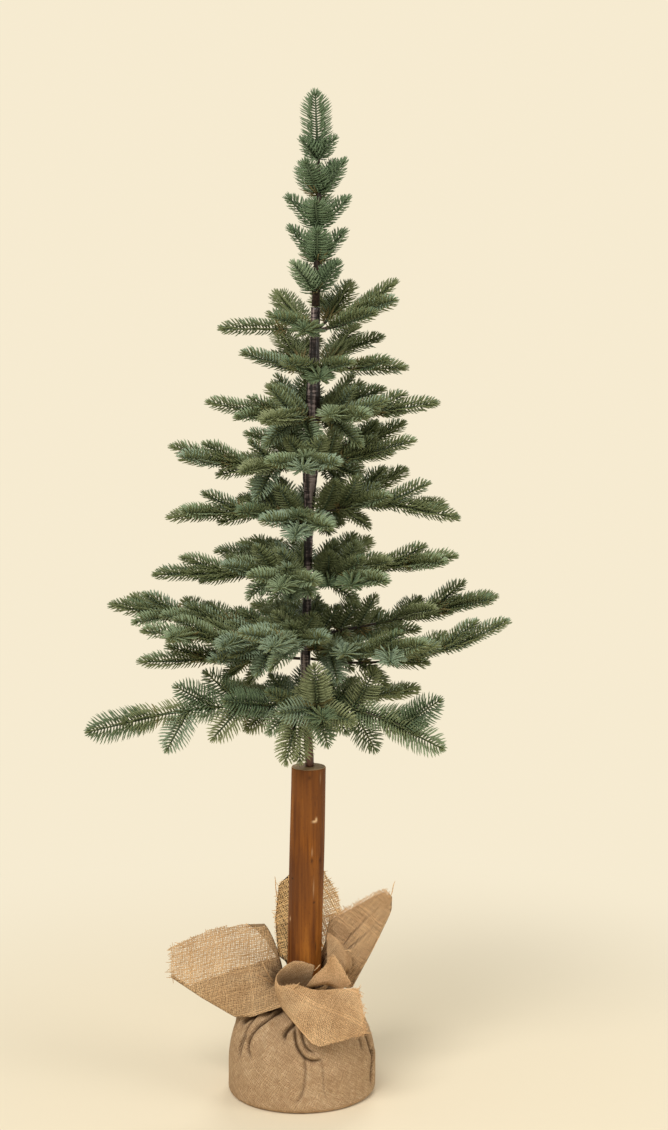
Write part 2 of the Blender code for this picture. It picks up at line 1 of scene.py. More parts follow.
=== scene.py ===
# %% [markdown]
# # An artificial alpine fir on a wrapped base
#
# The tree is a slim pole wrapped in dark tape. Rings of wires stand out of it, and each wire
# carries moulded shoots of plastic needles. The pole stands on a length of real log, and the
# log stands in a weighted base that is tied up in burlap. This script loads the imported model
# as a fixed frame and grows the looks around it, from the stage up to the last needle.

# %% Load the frame
import math
import random
from collections import defaultdict, namedtuple

import bmesh
import bpy
import numpy as np
from mathutils import Matrix, Vector
from mathutils.bvhtree import BVHTree


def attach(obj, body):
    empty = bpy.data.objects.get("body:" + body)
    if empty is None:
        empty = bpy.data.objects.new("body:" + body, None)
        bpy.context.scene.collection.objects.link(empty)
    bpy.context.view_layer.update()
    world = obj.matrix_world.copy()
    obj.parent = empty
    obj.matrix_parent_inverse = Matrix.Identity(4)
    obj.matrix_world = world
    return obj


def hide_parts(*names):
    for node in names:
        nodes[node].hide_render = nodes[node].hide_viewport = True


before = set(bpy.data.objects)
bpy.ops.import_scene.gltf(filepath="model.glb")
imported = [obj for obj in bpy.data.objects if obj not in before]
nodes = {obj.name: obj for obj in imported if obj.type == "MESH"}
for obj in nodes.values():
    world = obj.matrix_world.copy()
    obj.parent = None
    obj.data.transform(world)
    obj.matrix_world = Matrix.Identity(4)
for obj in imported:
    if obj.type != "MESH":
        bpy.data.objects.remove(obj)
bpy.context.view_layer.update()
UP = Vector((0.0, 0.0, 1.0))

# %% [markdown]
# ## Helpers
#
# Every material is a tree of nodes, so most of these helpers add a node and plug it in. The
# longer tables of points are in millimetres, and metres() converts them.

# %% Meshes and units
def metres(values):
    """Millimetres to metres, in a number or in nested tuples of numbers."""
    return tuple(map(metres, values)) if isinstance(values, tuple) else values / 1000


def collection_of(name):
    collection = bpy.data.collections.new(name)
    bpy.context.scene.collection.children.link(collection)
    return collection


def mesh_from(bm, name, *materials):
    """The finished mesh of a bmesh, which is freed."""
    mesh = bpy.data.meshes.new(name)
    bm.to_mesh(mesh)
    bm.free()
    for material in materials:
        mesh.materials.append(material)
    return mesh


def keep_at_points(mesh, name, values):
    """Keeps a number at each point of the mesh, which its material reads."""
    mesh.attributes.new(name, "FLOAT", "POINT").data.foreach_set("value", values)


stage = collection_of("stage")
fir = collection_of("fir")
print("collections:", stage.name, fir.name)

# %% Nodes
MIX_INPUTS = 0, 6, 7  # the sockets of a Mix node for its factor and its two colours
MIX_OUTPUT = 2


def set_inputs(node, **values):
    """Sets a node's sockets by name, with underscores for spaces."""
    for name, value in values.items():
        node.inputs[name.replace("_", " ")].default_value = value
    return node


def add_node(tree, kind, **values):
    return set_inputs(tree.nodes.new("ShaderNode" + kind), **values)


def link(tree, *pairs):
    for source, target in pairs:
        tree.links.new(source, target)


def new_material(name):
    """An empty node material, its tree and its Principled shader."""
    material = bpy.data.materials.new(name)
    material.use_nodes = True
    tree = material.node_tree
    return material, tree, tree.nodes["Principled BSDF"]


def object_space(tree):
    return add_node(tree, "TexCoord").outputs["Object"]


def kept_at_points(tree, name):
    node = add_node(tree, "Attribute")
    node.attribute_name = name
    return node.outputs["Fac"]


def split_axes(tree, vector):
    """The X, Y and Z of a vector."""
    node = add_node(tree, "SeparateXYZ")
    link(tree, (vector, node.inputs["Vector"]))
    return node.outputs


def calc(tree, operation, *values):
    """A Math node with these numbers or sockets as its inputs."""
    node = add_node(tree, "Math")
    node.operation = operation
    for socket, value in zip(node.inputs, values):
        if isinstance(value, (int, float)):
            socket.default_value = value
        else:
            tree.links.new(value, socket)
    return node.outputs[0]


def clamp(tree, value, low, high):
    return calc(tree, "MINIMUM", calc(tree, "MAXIMUM", value, low), high)


def weighted(tree, *terms):
    """The sum of sockets, each times its weight."""
    total = 0.0
    for socket, weight in reversed(terms):
        total = calc(tree, "MULTIPLY_ADD", socket, weight, total)
    return total


def ramp_of(tree, factor, *stops):
    """A colour ramp with stops of (place, colour)."""
    node = add_node(tree, "ValToRGB")
    elements = node.color_ramp.elements
    while len(elements) < len(stops):
        elements.new(0.5)
    for element, (place, colour) in zip(elements, stops):
        element.position = place
        element.color = (*colour, 1.0)
    tree.links.new(factor, node.inputs["Fac"])
    return node.outputs["Color"]


def noise_of(tree, coordinates, scale, stretch=(1.0, 1.0, 1.0), detail=4.0):
    """Noise on coordinates that are first multiplied by stretch."""
    spread = add_node(tree, "Mapping", Scale=stretch)
    noise = add_node(tree, "TexNoise", Scale=scale, Detail=detail)
    link(
        tree,
        (coordinates, spread.inputs["Vector"]),
        (spread.outputs["Vector"], noise.inputs["Vector"]),
    )
    return noise.outputs["Fac"]


def blend(tree, factor, first, second):
    """Mixes two colours, each a tuple or a socket."""
    node = add_node(tree, "Mix")
    node.data_type = "RGBA"
    for number, value in zip(MIX_INPUTS, (factor, first, second)):
        socket = node.inputs[number]
        if isinstance(value, tuple):
            socket.default_value = (*value, 1.0)
        elif isinstance(value, float):
            socket.default_value = value
        else:
            tree.links.new(value, socket)
    return node.outputs[MIX_OUTPUT]


def raise_bump(tree, shader, height, depth, strength=1.0):
    bump = add_node(tree, "Bump", Strength=strength, Distance=depth)
    link(tree, (height, bump.inputs["Height"]), (bump.outputs["Normal"], shader.inputs["Normal"]))


def finish(tree, shader, colour, height, depth, strength=1.0, **looks):
    """Gives the shader its colour, its bump and its other looks."""
    link(tree, (colour, shader.inputs["Base Color"]))
    raise_bump(tree, shader, height, depth, strength)
    set_inputs(shader, **looks)


# %% [markdown]
# ## The stage
#
# The tree stands on a pale cream sweep with no visible horizon. A real studio curves paper up
# behind the object, but a wall would hide the tree from the other side. Here the floor is a
# wide flat disc instead. Near the tree it takes light and shadow, and further out its colour
# turns slowly into a plain glow of the world's own cream, so its edge can't be seen.

# %% The floor
BACKDROP = (0.925, 0.830, 0.635)
FLOOR = (0.905, 0.811, 0.630)
FLOOR_RADIUS, FLOOR_SIDES = 9.0, 96
GLOW_FROM, GLOW_FULL = 0.30, 1.35  # distances from the tree


def floor_material():
    material, tree, shader = new_material("paper_sweep")
    set_inputs(shader, Base_Color=(*FLOOR, 1.0), Roughness=0.9, Specular_IOR_Level=0.1)
    distance = add_node(tree, "VectorMath")
    distance.operation = "LENGTH"
    fade = add_node(tree, "MapRange", From_Min=GLOW_FROM, From_Max=GLOW_FULL)
    fade.interpolation_type = "SMOOTHSTEP"
    glow = add_node(tree, "Emission", Color=(*BACKDROP, 1.0))
    mix = add_node(tree, "MixShader")
    link(
        tree,
        (object_space(tree), distance.inputs[0]),
        (distance.outputs["Value"], fade.inputs["Value"]),
        (fade.outputs["Result"], mix.inputs["Fac"]),
        (shader.outputs["BSDF"], mix.inputs[1]),
        (glow.outputs["Emission"], mix.inputs[2]),
        (mix.outputs["Shader"], tree.nodes["Material Output"].inputs["Surface"]),
    )
    return material


def make_floor():
    bm = bmesh.new()
    bmesh.ops.create_circle(bm, cap_ends=True, segments=FLOOR_SIDES, radius=FLOOR_RADIUS)
    floor = bpy.data.objects.new("paper_sweep", mesh_from(bm, "paper_sweep", floor_material()))
    stage.objects.link(floor)
    print("floor:", FLOOR_RADIUS, "m in radius")


make_floor()

# %% [markdown]
# ## Light
#
# The light is soft and comes mostly from the front left, a little above the tree, with a
# weaker one from the right and a low one behind. The world is bright cream for the camera,
# but gives the tree only a dim fill, so that the shoots keep dark hollows between them.

# %% The world and the lamps
FILL = (0.93, 0.89, 0.77)
FILL_STRENGTH = 0.39
LAMPS = (  # name, place, what it points at, size, power, colour
    ("key", (-1.8, -4.0, 4.4), (0.0, 0.0, 0.7), 3.4, 250.0, (1.0, 0.97, 0.92)),
    ("side", (2.8, -1.4, 1.8), (0.0, 0.0, 0.7), 2.0, 30.0, (1.0, 0.96, 0.90)),
    ("rim", (0.6, 3.0, 2.6), (0.0, 0.0, 0.9), 1.8, 36.0, (1.0, 0.98, 0.94)),
)


def make_world():
    world = bpy.data.worlds.new("studio")
    bpy.context.scene.world = world
    world.use_nodes = True
    tree = world.node_tree
    seen = tree.nodes["Background"]
    set_inputs(seen, Color=(*BACKDROP, 1.0), Strength=1.0)
    fill = add_node(tree, "Background", Color=(*FILL, 1.0), Strength=FILL_STRENGTH)
    path = add_node(tree, "LightPath")
    mix = add_node(tree, "MixShader")
    link(
        tree,
        (path.outputs["Is Camera Ray"], mix.inputs["Fac"]),
        (fill.outputs["Background"], mix.inputs[1]),
        (seen.outputs["Background"], mix.inputs[2]),
        (mix.outputs["Shader"], tree.nodes["World Output"].inputs["Surface"]),
    )


def make_lamp(name, place, aim, size, power, colour):
    data = bpy.data.lights.new(name, "AREA")
    data.shape = "DISK"
    data.size = size
    data.energy = power
    data.color = colour
    lamp = bpy.data.objects.new(name, data)
    lamp.location = place
    lamp.rotation_euler = (Vector(aim) - Vector(place)).to_track_quat("-Z", "Y").to_euler()
    stage.objects.link(lamp)


make_world()
for lamp in LAMPS:
    make_lamp(*lamp)
print("lamps:", *(lamp[0] for lamp in LAMPS))

# %% [markdown]
# ## Camera
#
# The camera stands three and a half metres away at chest height and looks down by eight
# degrees, with a longish lens, so the rings of boughs are seen nearly edge on.

# %% The camera
FOCAL_PX, FRAME_PX = 2400.0, 1130.0  # the focal length and the height of the frame, in pixels
SENSOR = 36.0
EYE = (0.0497, -3.52, 1.316)
EYE_TILT = 8.2  # degrees down


def make_camera():
    data = bpy.data.cameras.new("camera")
    data.sensor_width = SENSOR
    data.lens = SENSOR * FOCAL_PX / FRAME_PX
    camera = bpy.data.objects.new("camera", data)
    camera.location = EYE
    camera.rotation_euler = (math.radians(90.0 - EYE_TILT), 0.0, 0.0)
    stage.objects.link(camera)
    bpy.context.scene.camera = camera
    bpy.context.scene.view_settings.view_transform = "Standard"
    print("camera: a lens of", round(data.lens, 1), "mm")


make_camera()

# %% [markdown]
# ## The plan of the tree
#
# The boughs follow one rule. A ring has a height on the pole, and each bough of a ring has a
# compass bearing, how far it reaches and how far it rises. Its wire is a gentle curve with
# three control points. The wire ends in a shoot, and shoots leave it in turn from the tip
# inwards: a pair, one on top, a wide pair and a slanting pair. The same rule laid out
# the solids, so what is grown here fills the same space.

# %% The pole and the boughs
GAP = 0.0003
POLE_KNOTS = (  # height, how far the pole wanders to +X, radius with its tape
    (0.514, 0.0129, 0.0065),
    (0.596, 0.0079, 0.0068),
    (0.673, 0.0073, 0.0075),
    (0.791, 0.0104, 0.0058),
    (0.883, 0.0128, 0.0068),
    (0.915, 0.0138, 0.0085),
    (0.945, 0.0148, 0.0112),
    (1.020, 0.0178, 0.0100),
    (1.060, 0.0190, 0.0105),
    (1.100, 0.0199, 0.0085),
    (1.140, 0.0214, 0.0070),
    (1.190, 0.0229, 0.0068),
)
LEADER_KNOTS = (
    (1.1903, 0.0229, 0.0060),
    (1.260, 0.0252, 0.0045),
    (1.351, 0.0280, 0.0032),
    (1.420, 0.0262, 0.0026),
)
LEADER_TIP = Vector((0.0224, 0.0, 1.5016))
LEADER_SINK = 0.010
LEADER_RINGS = (  # height, bearings, and how far the shoots of that ring reach and rise
    (1.211, (40, 130, 215, 325), 0.043, 0.048),
    (1.254, (5, 95, 185, 275), 0.046, 0.050),
    (1.303, (3, 80, 185, 260), 0.050, 0.048),
    (1.351, (348, 60, 130, 245), 0.046, 0.050),
    (1.403, (90, 205, 335), 0.031, 0.034),
)
RING_HEIGHT_JITTER = 0.004
Bough = namedtuple("Bough", "ring height azimuth reach rise arch roll spread bare")


def bough(azimuth, reach, rise, arch=0, roll=0, spread=0, bare=30):
    """arch lifts the middle, roll turns the plane of the side shoots, spread opens them, and
    bare is how much of the wire beside the pole has no shoots."""
    return azimuth, *metres((reach, rise, arch)), roll, spread, metres(bare)


RINGS = (  # number, height, and the boughs in degrees and millimetres
    (6, 1.156, (
        bough(5, 128, 62), bough(64, 125, 62), bough(118, 128, 50), bough(180, 142, 3),
        bough(262, 120, 16), bough(330, 105, 26),
    )),
    (7, 1.094, (
        bough(2, 139, 3, arch=10), bough(62, 135, 62), bough(115, 130, 56),
        bough(197, 112, 30), bough(275, 130, 16),
    )),
    (8, 1.027, (
        bough(358, 187, 22), bough(60, 150, 40), bough(115, 150, 38), bough(180, 158, 19),
        bough(243, 150, 20), bough(302, 150, 22),
    )),
    (9, 0.960, (
        bough(346, 160, 34), bough(32, 170, 50), bough(110, 170, 40),
        bough(180, 210, 20, arch=-22), bough(266, 170, 20),
    )),
    (10, 0.883, (
        bough(358, 223, -6, arch=38), bough(42, 200, 54), bough(118, 190, 28),
        bough(180, 211, -4, arch=10), bough(264, 180, 4),
    )),
    (11, 0.791, (
        bough(2, 224, 32), bough(62, 200, 32), bough(120, 210, 24), bough(178, 231, 0, arch=8),
        bough(258, 190, 24), bough(310, 180, 18),
    )),
    (12, 0.702, (
        bough(12, 296, 52, arch=6, bare=100), bough(98, 260, 10), bough(172, 301, 38, arch=10),
        bough(258, 230, 34),
    )),
    (13, 0.684, (
        bough(55, 250, 0), bough(198, 252, 40, arch=8), bough(317, 240, 30, arch=-10),
    )),
    (14, 0.668, (
        bough(184, 250, -10, arch=12, bare=55), bough(350, 307, 62, arch=-36, bare=110),
    )),
    (15, 0.596, (
        bough(50, 270, -20), bough(118, 280, -20), bough(187, 329, -33, arch=22, roll=70),
        bough(244, 68, -78, arch=30), bough(280, 170, 24, roll=90),
        bough(335, 225, -46, arch=24, roll=88, spread=14),
    )),
)
BOUGHS = [Bough(ring, height, *row) for ring, height, rows in RINGS for row in rows]
print(len(BOUGHS), "boughs in", len(RINGS), "rings")

# %% [markdown]
# ## Where the shoots grow
#
# A shoot is a straight axis with needles round it. First come the shoots that the solids
# have, from the tips inwards, then slightly shorter ones halfway between the nodes, and last
# some that stand close to the pole. A new shoot is left out where its outer half would lie
# along one that is already there, or where it would run into the pole.

# %% Curves of the wires
BOUGH_ROOT_RADIUS = 0.0022
BOUGH_END_RADIUS = 0.0015
HALFWAY_RISE = 0.25  # what a bough has risen halfway out, as a share of its whole rise
CURVE_STEPS = 24


def between(knots, height):
    """The values of a list of (height, value, ...) at a height, in straight steps."""
    for low, high in zip(knots, knots[1:]):
        if height <= high[0]:
            break
    share = (height - low[0]) / (high[0] - low[0])
    return [a + (b - a) * share for a, b in zip(low[1:], high[1:])]


def curve_point(ends, t):
    """A point of a Bezier curve through its first and last control point."""
    points = list(ends)
    while len(points) > 1:
        points = [a.lerp(b, t) for a, b in zip(points, points[1:])]
    return points[0]


def square_to(direction, guide):
    """The part of guide that is square to direction, as a unit vector."""
    return (guide - direction * guide.dot(direction)).normalized()


def bough_curve(plan):
    """Control points from the pole's surface to the bough's tip."""
    x, radius = between(POLE_KNOTS, plan.height)
    angle = math.radians(plan.azimuth)
    out = Vector((math.cos(angle), math.sin(angle), 0.0))
    middle = out * plan.reach * 0.5 + UP * (plan.rise * HALFWAY_RISE + plan.arch)
    slope = middle.normalized().z
    nearest_corner = BOUGH_ROOT_RADIUS * max(0.5 * slope, -slope)
    start = out * (radius + GAP + nearest_corner)
    centre = Vector((x, 0.0, plan.height))
    return [centre + start, centre + middle, centre + out * plan.reach + UP * plan.rise]


def curve_length(curve, end=1.0):
    points = [curve_point(curve, end * k / CURVE_STEPS) for k in range(CURVE_STEPS + 1)]
    return sum((b - a).length for a, b in zip(points, points[1:]))


def share_at(curve, distance):
    """The curve's parameter at this distance from its start."""
    low, high = 0.0, 1.0
    for _ in range(CURVE_STEPS):
        middle = (low + high) / 2
        if curve_length(curve, middle) < distance:
            low = middle
        else:
            high = middle
    return low


def tangent(curve, t, step=0.01):
    ahead = curve_point(curve, min(1.0, t + step))
    return (ahead - curve_point(curve, max(0.0, t - step))).normalized()


# %% Shoots of one bough
TERMINAL_LENGTH = 0.105
SHOOT_LENGTH = 0.080
SIDE_SHOOT_LENGTH = 0.076
SHORTEST_SHOOT = 0.030
FINER = 0.86  # length of a shoot between the nodes, as a share of a side shoot
LONGEST_TIP = 0.85  # of the terminal shoot, as a share of its bough
SHOOT_SINK = 0.001
NODE_STEP = 0.040
FIRST_NODE = 0.95  # how far the first node is from the tip, as a share of a shoot
SLEEVE_LENGTH = 0.062
SLEEVE_STEP = 0.045
LEADER_SEED = 7
POLE_SHOOT_LENGTH = 0.064
POLE_SHOOT_DISTANCES = (0.012, 0.042, 0.072)
POLE_SHOOT_TURNS = (58, 122, 238, 302)
POLE_SHOOT_ANGLE = 56
FULL_RINGS = 8  # from this ring down, shoots also stand close to the pole
FRONT = Vector((0.0, -1.0, 0.0))
FRONT_LIFT = 0.3  # how far up the flat top of a shoot on a rolled bough looks
DROOP_FROM, DROOP, DROOP_GAIN = 0.70, 0.16, 1.5
MOST_FORWARD = 0.85  # a shoot that points further forward than this can't face the front
POLE_SHOOT_MARGIN = 0.02  # past the bare part of the wire
TURN_JITTER, ANGLE_JITTER, LENGTH_JITTER = 8, 6, 0.06
NODE_TURNS = (  # the turn round the wire, 90 on top, and the angle to it
    ((6, 44), (174, 44)),
    ((90, 20),),
    ((12, 50), (168, 50)),
    ((30, 38), (206, 36)),
)
FINER_TURNS = (
    ((88, 18), (192, 40)),
    ((5, 40), (175, 42), (268, 14)),
    ((98, 20), (-12, 44)),
    ((0, 46), (158, 46), (190, 44)),
)
Shoot = namedtuple("Shoot", "root direction up length ring")


def flat_side(direction, rolled):
    """Which way a shoot's flat top faces: up, or to the front where its bough is rolled over."""
    if rolled and abs(direction.y) < MOST_FORWARD:
        return square_to(direction, FRONT + UP * FRONT_LIFT)
    return square_to(direction, UP)


def shoot_between(root, tip, ring, rolled):
    axis = tip - root
    direction = axis.normalized()
    return Shoot(root, direction, flat_side(direction, rolled), axis.length, ring)


def drooped(direction):
    """A shoot that comes straight forward droops, so that its back shows and not its tip."""
    facing = max(0.0, -direction.y - DROOP_FROM) / (1.0 - DROOP_FROM)
    return (direction - UP * DROOP * min(1.0, facing * DROOP_GAIN)).normalized()


def leaning_shoot(curve, t, angle, turn, length, plan, rng):
    """A shoot that leaves the curve at an angle. turn is its place round the curve."""
    along = tangent(curve, t)
    top = square_to(along, UP)
    side = along.cross(top)
    turn = math.radians(turn + rng.uniform(-TURN_JITTER, TURN_JITTER))
    angle = math.radians(angle + rng.uniform(-ANGLE_JITTER, ANGLE_JITTER))
    away = side * math.cos(turn) + top * math.sin(turn)
    direction = drooped((along * math.cos(angle) + away * math.sin(angle)).normalized())
    root = curve_point(curve, t) - direction * SHOOT_SINK
    length *= rng.uniform(1.0 - LENGTH_JITTER, 1.0 + LENGTH_JITTER)
    return Shoot(root, direction, flat_side(direction, plan.roll), length, plan.ring)


def side_shoots(plan, turns, first, longest, rng):
    """Candidates from the terminal shoot inwards, node by node."""
    curve = bough_curve(plan)
    distance = curve_length(curve) - first
    shoots = []
    node = 0
    while distance > plan.bare:
        t = share_at(curve, distance)
        for turn, angle in turns[node % len(turns)]:
            length = min(longest, SHORTEST_SHOOT + distance)
            shoots.append(leaning_shoot(
                curve, t, angle + plan.spread, turn + plan.roll, length, plan, rng
            ))
        distance -= NODE_STEP
        node += 1
    return shoots


def terminal_shoot(plan):
    """The shoot that ends a bough, with its point at the end of the curve."""
    curve = bough_curve(plan)
    total = curve_length(curve)
    length = min(TERMINAL_LENGTH, total * LONGEST_TIP)
    straight = shoot_between(
        curve_point(curve, share_at(curve, total - length)), curve[-1], plan.ring, plan.roll
    )
    direction = drooped(straight.direction)
    return straight._replace(direction=direction, up=flat_side(direction, plan.roll))


def pole_shoots(plan, rng):
    """Candidates close to the pole, above and below the wire, where the tree is thickest."""
    curve = bough_curve(plan)
    places = [(share_at(curve, distance), turn) for distance in POLE_SHOOT_DISTANCES
              if distance < plan.bare + POLE_SHOOT_MARGIN for turn in POLE_SHOOT_TURNS]
    return [leaning_shoot(curve, t, POLE_SHOOT_ANGLE, turn, POLE_SHOOT_LENGTH, plan, rng)
            for t, turn in places]


def sleeves(plan):
    """Shoots that lie along the wire and hide it, from the bare part to the terminal shoot."""
    curve = bough_curve(plan)
    end = curve_length(curve) - TERMINAL_LENGTH
    distance = plan.bare
    shoots = []
    while distance < end:
        ends = [curve_point(curve, share_at(curve, distance + ahead))
                for ahead in (0.0, SLEEVE_LENGTH)]
        shoots.append(shoot_between(*ends, plan.ring, plan.roll))
        distance += SLEEVE_STEP
    return shoots


def leader_shoots():
    """The upright shoot at the top, then the rings below it."""
    rng = random.Random(LEADER_SEED)
    height, x, _ = LEADER_KNOTS[-1]
    root = Vector((x, 0.0, height - LEADER_SINK))
    shoots = [shoot_between(root, LEADER_TIP, 0, False)._replace(up=FRONT)]
    for height, azimuths, reach, rise in reversed(LEADER_RINGS):
        for azimuth in azimuths:
            angle = math.radians(azimuth + rng.uniform(-ANGLE_JITTER, ANGLE_JITTER))
            low = height + rng.uniform(-RING_HEIGHT_JITTER, RING_HEIGHT_JITTER)
            axis = Vector((math.cos(angle) * reach, math.sin(angle) * reach, rise))
            direction = axis.normalized()
            root = Vector((between(LEADER_KNOTS, low)[0], 0.0, low)) - direction * SHOOT_SINK
            shoots.append(Shoot(root, direction, square_to(direction, UP), axis.length, 0))
    return shoots


# %% All the shoots of the tree
NODE_SEED, FINER_SEED, POLE_SEED = 100, 300, 500
SPACING = 0.029  # between the outer halves of two shoots
OUTER_HALF = (0.55, 0.78, 1.0)  # places along a shoot where its spacing is measured
POLE_CLEARANCE = 0.016
POLE_SHOWS = (  # heights, as the camera sees them, between which the pole isn't hidden
    (0.668, 0.696), (0.804, 0.858), (0.880, 0.950),
    (1.046, 1.090), (1.112, 1.152), (1.178, 1.206),
)
FOOT_SHOOTS = (  # root and tip of the shoots that hang or stand before the foot of the pole
    ((25.5, -100, 612), (21.5, -125, 686)),
    ((26, -100, 612), (41, -120, 558)),
    ((24, -100, 610), (-36, -116, 609)),
    ((27, -100, 610), (84, -118, 594)),
    ((-1, -20, 586), (-1, -38, 514)),
)
SHOW_WIDTH = 0.022
SIGHT_SLOPE = 0.144  # the eye looks slightly down
OPEN_RING = 13  # from this ring down no shoots grow between the nodes, so that the sky shows
LOW_RING = 15  # the lowest ring is more open still
LOW_SPACING = 0.038
POLE_SPACING = 0.92  # of shoots close to the pole, as a share of the others' spacing


def outer_half(shoot):
    return np.array([shoot.root + shoot.direction * shoot.length * k for k in OUTER_HALF])


def clear_of_pole(points):
    """Away from the pole, and not in front of the stretches where it shows."""
    x = np.interp(points[:, 2], [k[0] for k in POLE_KNOTS], [k[1] for k in POLE_KNOTS])
    beside = points[:, 0] - x
    seen = points[:, 2] + SIGHT_SLOPE * points[:, 1]
    ahead = (points[:, 1] < 0.0) & (np.abs(beside) < SHOW_WIDTH)
    if any((ahead & (seen > low) & (seen < high)).any() for low, high in POLE_SHOWS):
        return False
    return np.hypot(beside, points[:, 1]).min() > POLE_CLEARANCE


def candidate_rounds():
    """For each round, a row of candidates per bough."""
    first = SHOOT_LENGTH * FIRST_NODE
    finer_first = first + NODE_STEP / 2
    numbered = list(enumerate(BOUGHS))
    return [
        [side_shoots(plan, NODE_TURNS, first, SIDE_SHOOT_LENGTH,
                     random.Random(NODE_SEED + number)) for number, plan in numbered],
        [side_shoots(plan, FINER_TURNS, finer_first, SIDE_SHOOT_LENGTH * FINER,
                     random.Random(FINER_SEED + number))
         for number, plan in numbered if plan.ring < OPEN_RING],
        [pole_shoots(plan, random.Random(POLE_SEED + number))
         for number, plan in numbered if plan.ring >= FULL_RINGS],
    ]


def grow_tree():
    """Every shoot of the tree: tips first, then the candidates that have room, in turn."""
    kept = leader_shoots() + [terminal_shoot(plan) for plan in BOUGHS]
    kept += [shoot_between(*map(Vector, ends), LOW_RING, True) for ends in metres(FOOT_SHOOTS)]
    taken = np.stack([outer_half(shoot) for shoot in kept])
    for rows, closer in zip(candidate_rounds(), (1.0, 1.0, POLE_SPACING)):
        for turn in range(max(map(len, rows))):
            for shoot in [row[turn] for row in rows if turn < len(row)]:
                points = outer_half(shoot)
                nearest = np.linalg.norm(taken - points, axis=2).min()
                spacing = LOW_SPACING if shoot.ring >= LOW_RING else SPACING
                if nearest > spacing * closer and clear_of_pole(points):
                    kept.append(shoot)
                    taken = np.concatenate([taken, points[None]])
        print(len(kept), "shoots so far")
    for plan in BOUGHS:
        kept += sleeves(plan)
    print(len(kept), "with those along the wires")
    return kept


shoots = grow_tree()

# %% [markdown]
# ## Needles
#
# A real needle of this kind is moulded plastic, flat on top with a shallow keel below, about
# 2 cm long and 2 mm wide, and it curves towards the tip of its shoot. One three-sided needle
# of sixteen triangles is made with operators and then copied with arrays, because there are
# tens of thousands. Its top takes one of a few greens and its keel a darker, yellower one.

# %% One needle
NEEDLE_RINGS = ((0.0, 0.62), (0.42, 1.0), (0.82, 0.78))  # share of the length, of the width
NEEDLE_KEEL = 0.85  # height of the keel side, as a share of the flat side
FLAT_TOP, KEEL = 0, 1


def unit_needle():
    """Points, triangles and their sides, of a needle one long and one wide."""
    bm = bmesh.new()
    bmesh.ops.create_cone(bm, cap_ends=True, segments=3, radius1=1.0, radius2=0.0, depth=1.0)
    keel_down = Matrix.Translation((0, 0, 0.5)) @ Matrix.Rotation(math.pi, 4, "Z")
    bmesh.ops.transform(bm, matrix=keel_down, verts=bm.verts)
    for share, _ in NEEDLE_RINGS[1:]:
        parts = bm.verts[:] + bm.edges[:] + bm.faces[:]
        bmesh.ops.bisect_plane(bm, geom=parts, plane_co=(0, 0, share), plane_no=(0, 0, 1))
    lengths, widths = zip(*NEEDLE_RINGS, (1.0, 0.0))
    for vert in bm.verts:
        away = vert.co.xy
        if away.length > 0:
            away = away.normalized() * np.interp(vert.co.z, lengths, widths) / math.sqrt(3)
        vert.co.xy = away.x, away.y * NEEDLE_KEEL
    bmesh.ops.triangulate(bm, faces=bm.faces)
    bmesh.ops.recalc_face_normals(bm, faces=bm.faces)
    bm.normal_update()
    points = np.array([vert.co for vert in bm.verts])
    triangles = np.array([[vert.index for vert in face.verts] for face in bm.faces])
    sides = np.array([FLAT_TOP if face.normal.y > 0.5 else KEEL for face in bm.faces])
    bm.free()
    return points, triangles, sides


NEEDLE = unit_needle()
flat_count = int((NEEDLE[2] == FLAT_TOP).sum())
print("one needle has", len(NEEDLE[1]), "triangles,", flat_count, "on its flat top")

# %% The needles of one shoot
NEEDLE_WIDTH = 0.0021
NEEDLE_PITCH = 0.0047
RANKS = (  # turn round the shoot, sweep from its axis, length, start as a share of the pitch
    (0, 76, 0.0290, 0.00),
    (180, 76, 0.0290, 0.00),
    (24, 75, 0.0280, 0.04),
    (156, 75, 0.0280, 0.04),
    (52, 76, 0.0236, 0.08),
    (128, 76, 0.0236, 0.08),
    (86, 76, 0.0190, 0.12),
    (-30, 72, 0.0200, 0.04),
    (210, 72, 0.0200, 0.04),
)
NEEDLE_TWIST = 30  # degrees that its flat top turns towards the shoot's tip
NEEDLE_BEND = 34  # degrees that a needle curves towards the shoot's tip
BEND_MIDDLE, CHORD_TURN = 0.2, 0.3  # where the sweep holds, and what the bend turns the chord
FULL_WIDTH_LENGTH = 0.016  # a needle shorter than this is narrower as well
TIP_SWEEP = 50  # sweep of the last needles
TIP_NEEDLES = (
    (5, 38), (60, 34), (120, 34), (175, 38), (215, 34), (-35, 34), (270, 28), (90, 18), (0, 14),
    (180, 14),
)
TIP_NEEDLE_LENGTH = 0.0128
TIP_INSET = TIP_NEEDLE_LENGTH * 0.8  # from the last needles to the shoot's end
SMALL_SCALE, SCALE_GAIN = 0.55, 0.45  # a short shoot has shorter needles
LEADER_SWELL = 1.14  # the top section's rings have longer ones
UPRIGHT = 0.95  # a direction's z from which a shoot is the upright one
UPRIGHT_SHARE = 0.96  # its needles are shorter
UPRIGHT_PITCH = 0.78  # and stand closer
TOP_RANK = 86  # the rank on the flat top, which the upright shoot does without
FIRST_STATION = 0.004
BASE_SHARE = 0.16  # of the shoot, where the needles are shorter and stand out more
BASE_CUT, BASE_SPREAD = 0.3, 10
TIP_FROM, TIP_SHARE = 0.62, 0.38  # of the shoot, where the needles turn towards its tip
TIP_ROUND = 0.029  # length of the rounded end of a shoot's outline
SHORTEST, CUT_STEP = 0.4, 0.95  # how a needle is cut to fit in it
SWEEP_JITTER = 1.6
LENGTHS, TIP_LENGTHS = (0.95, 1.03), (0.9, 1.05)
JITTER, BASE_JITTER, TIP_JITTER = 3, 8, 9  # of the turn: everywhere, and more at both ends
LAST_TURN_JITTER, LAST_SWEEP_JITTER = 12, 4
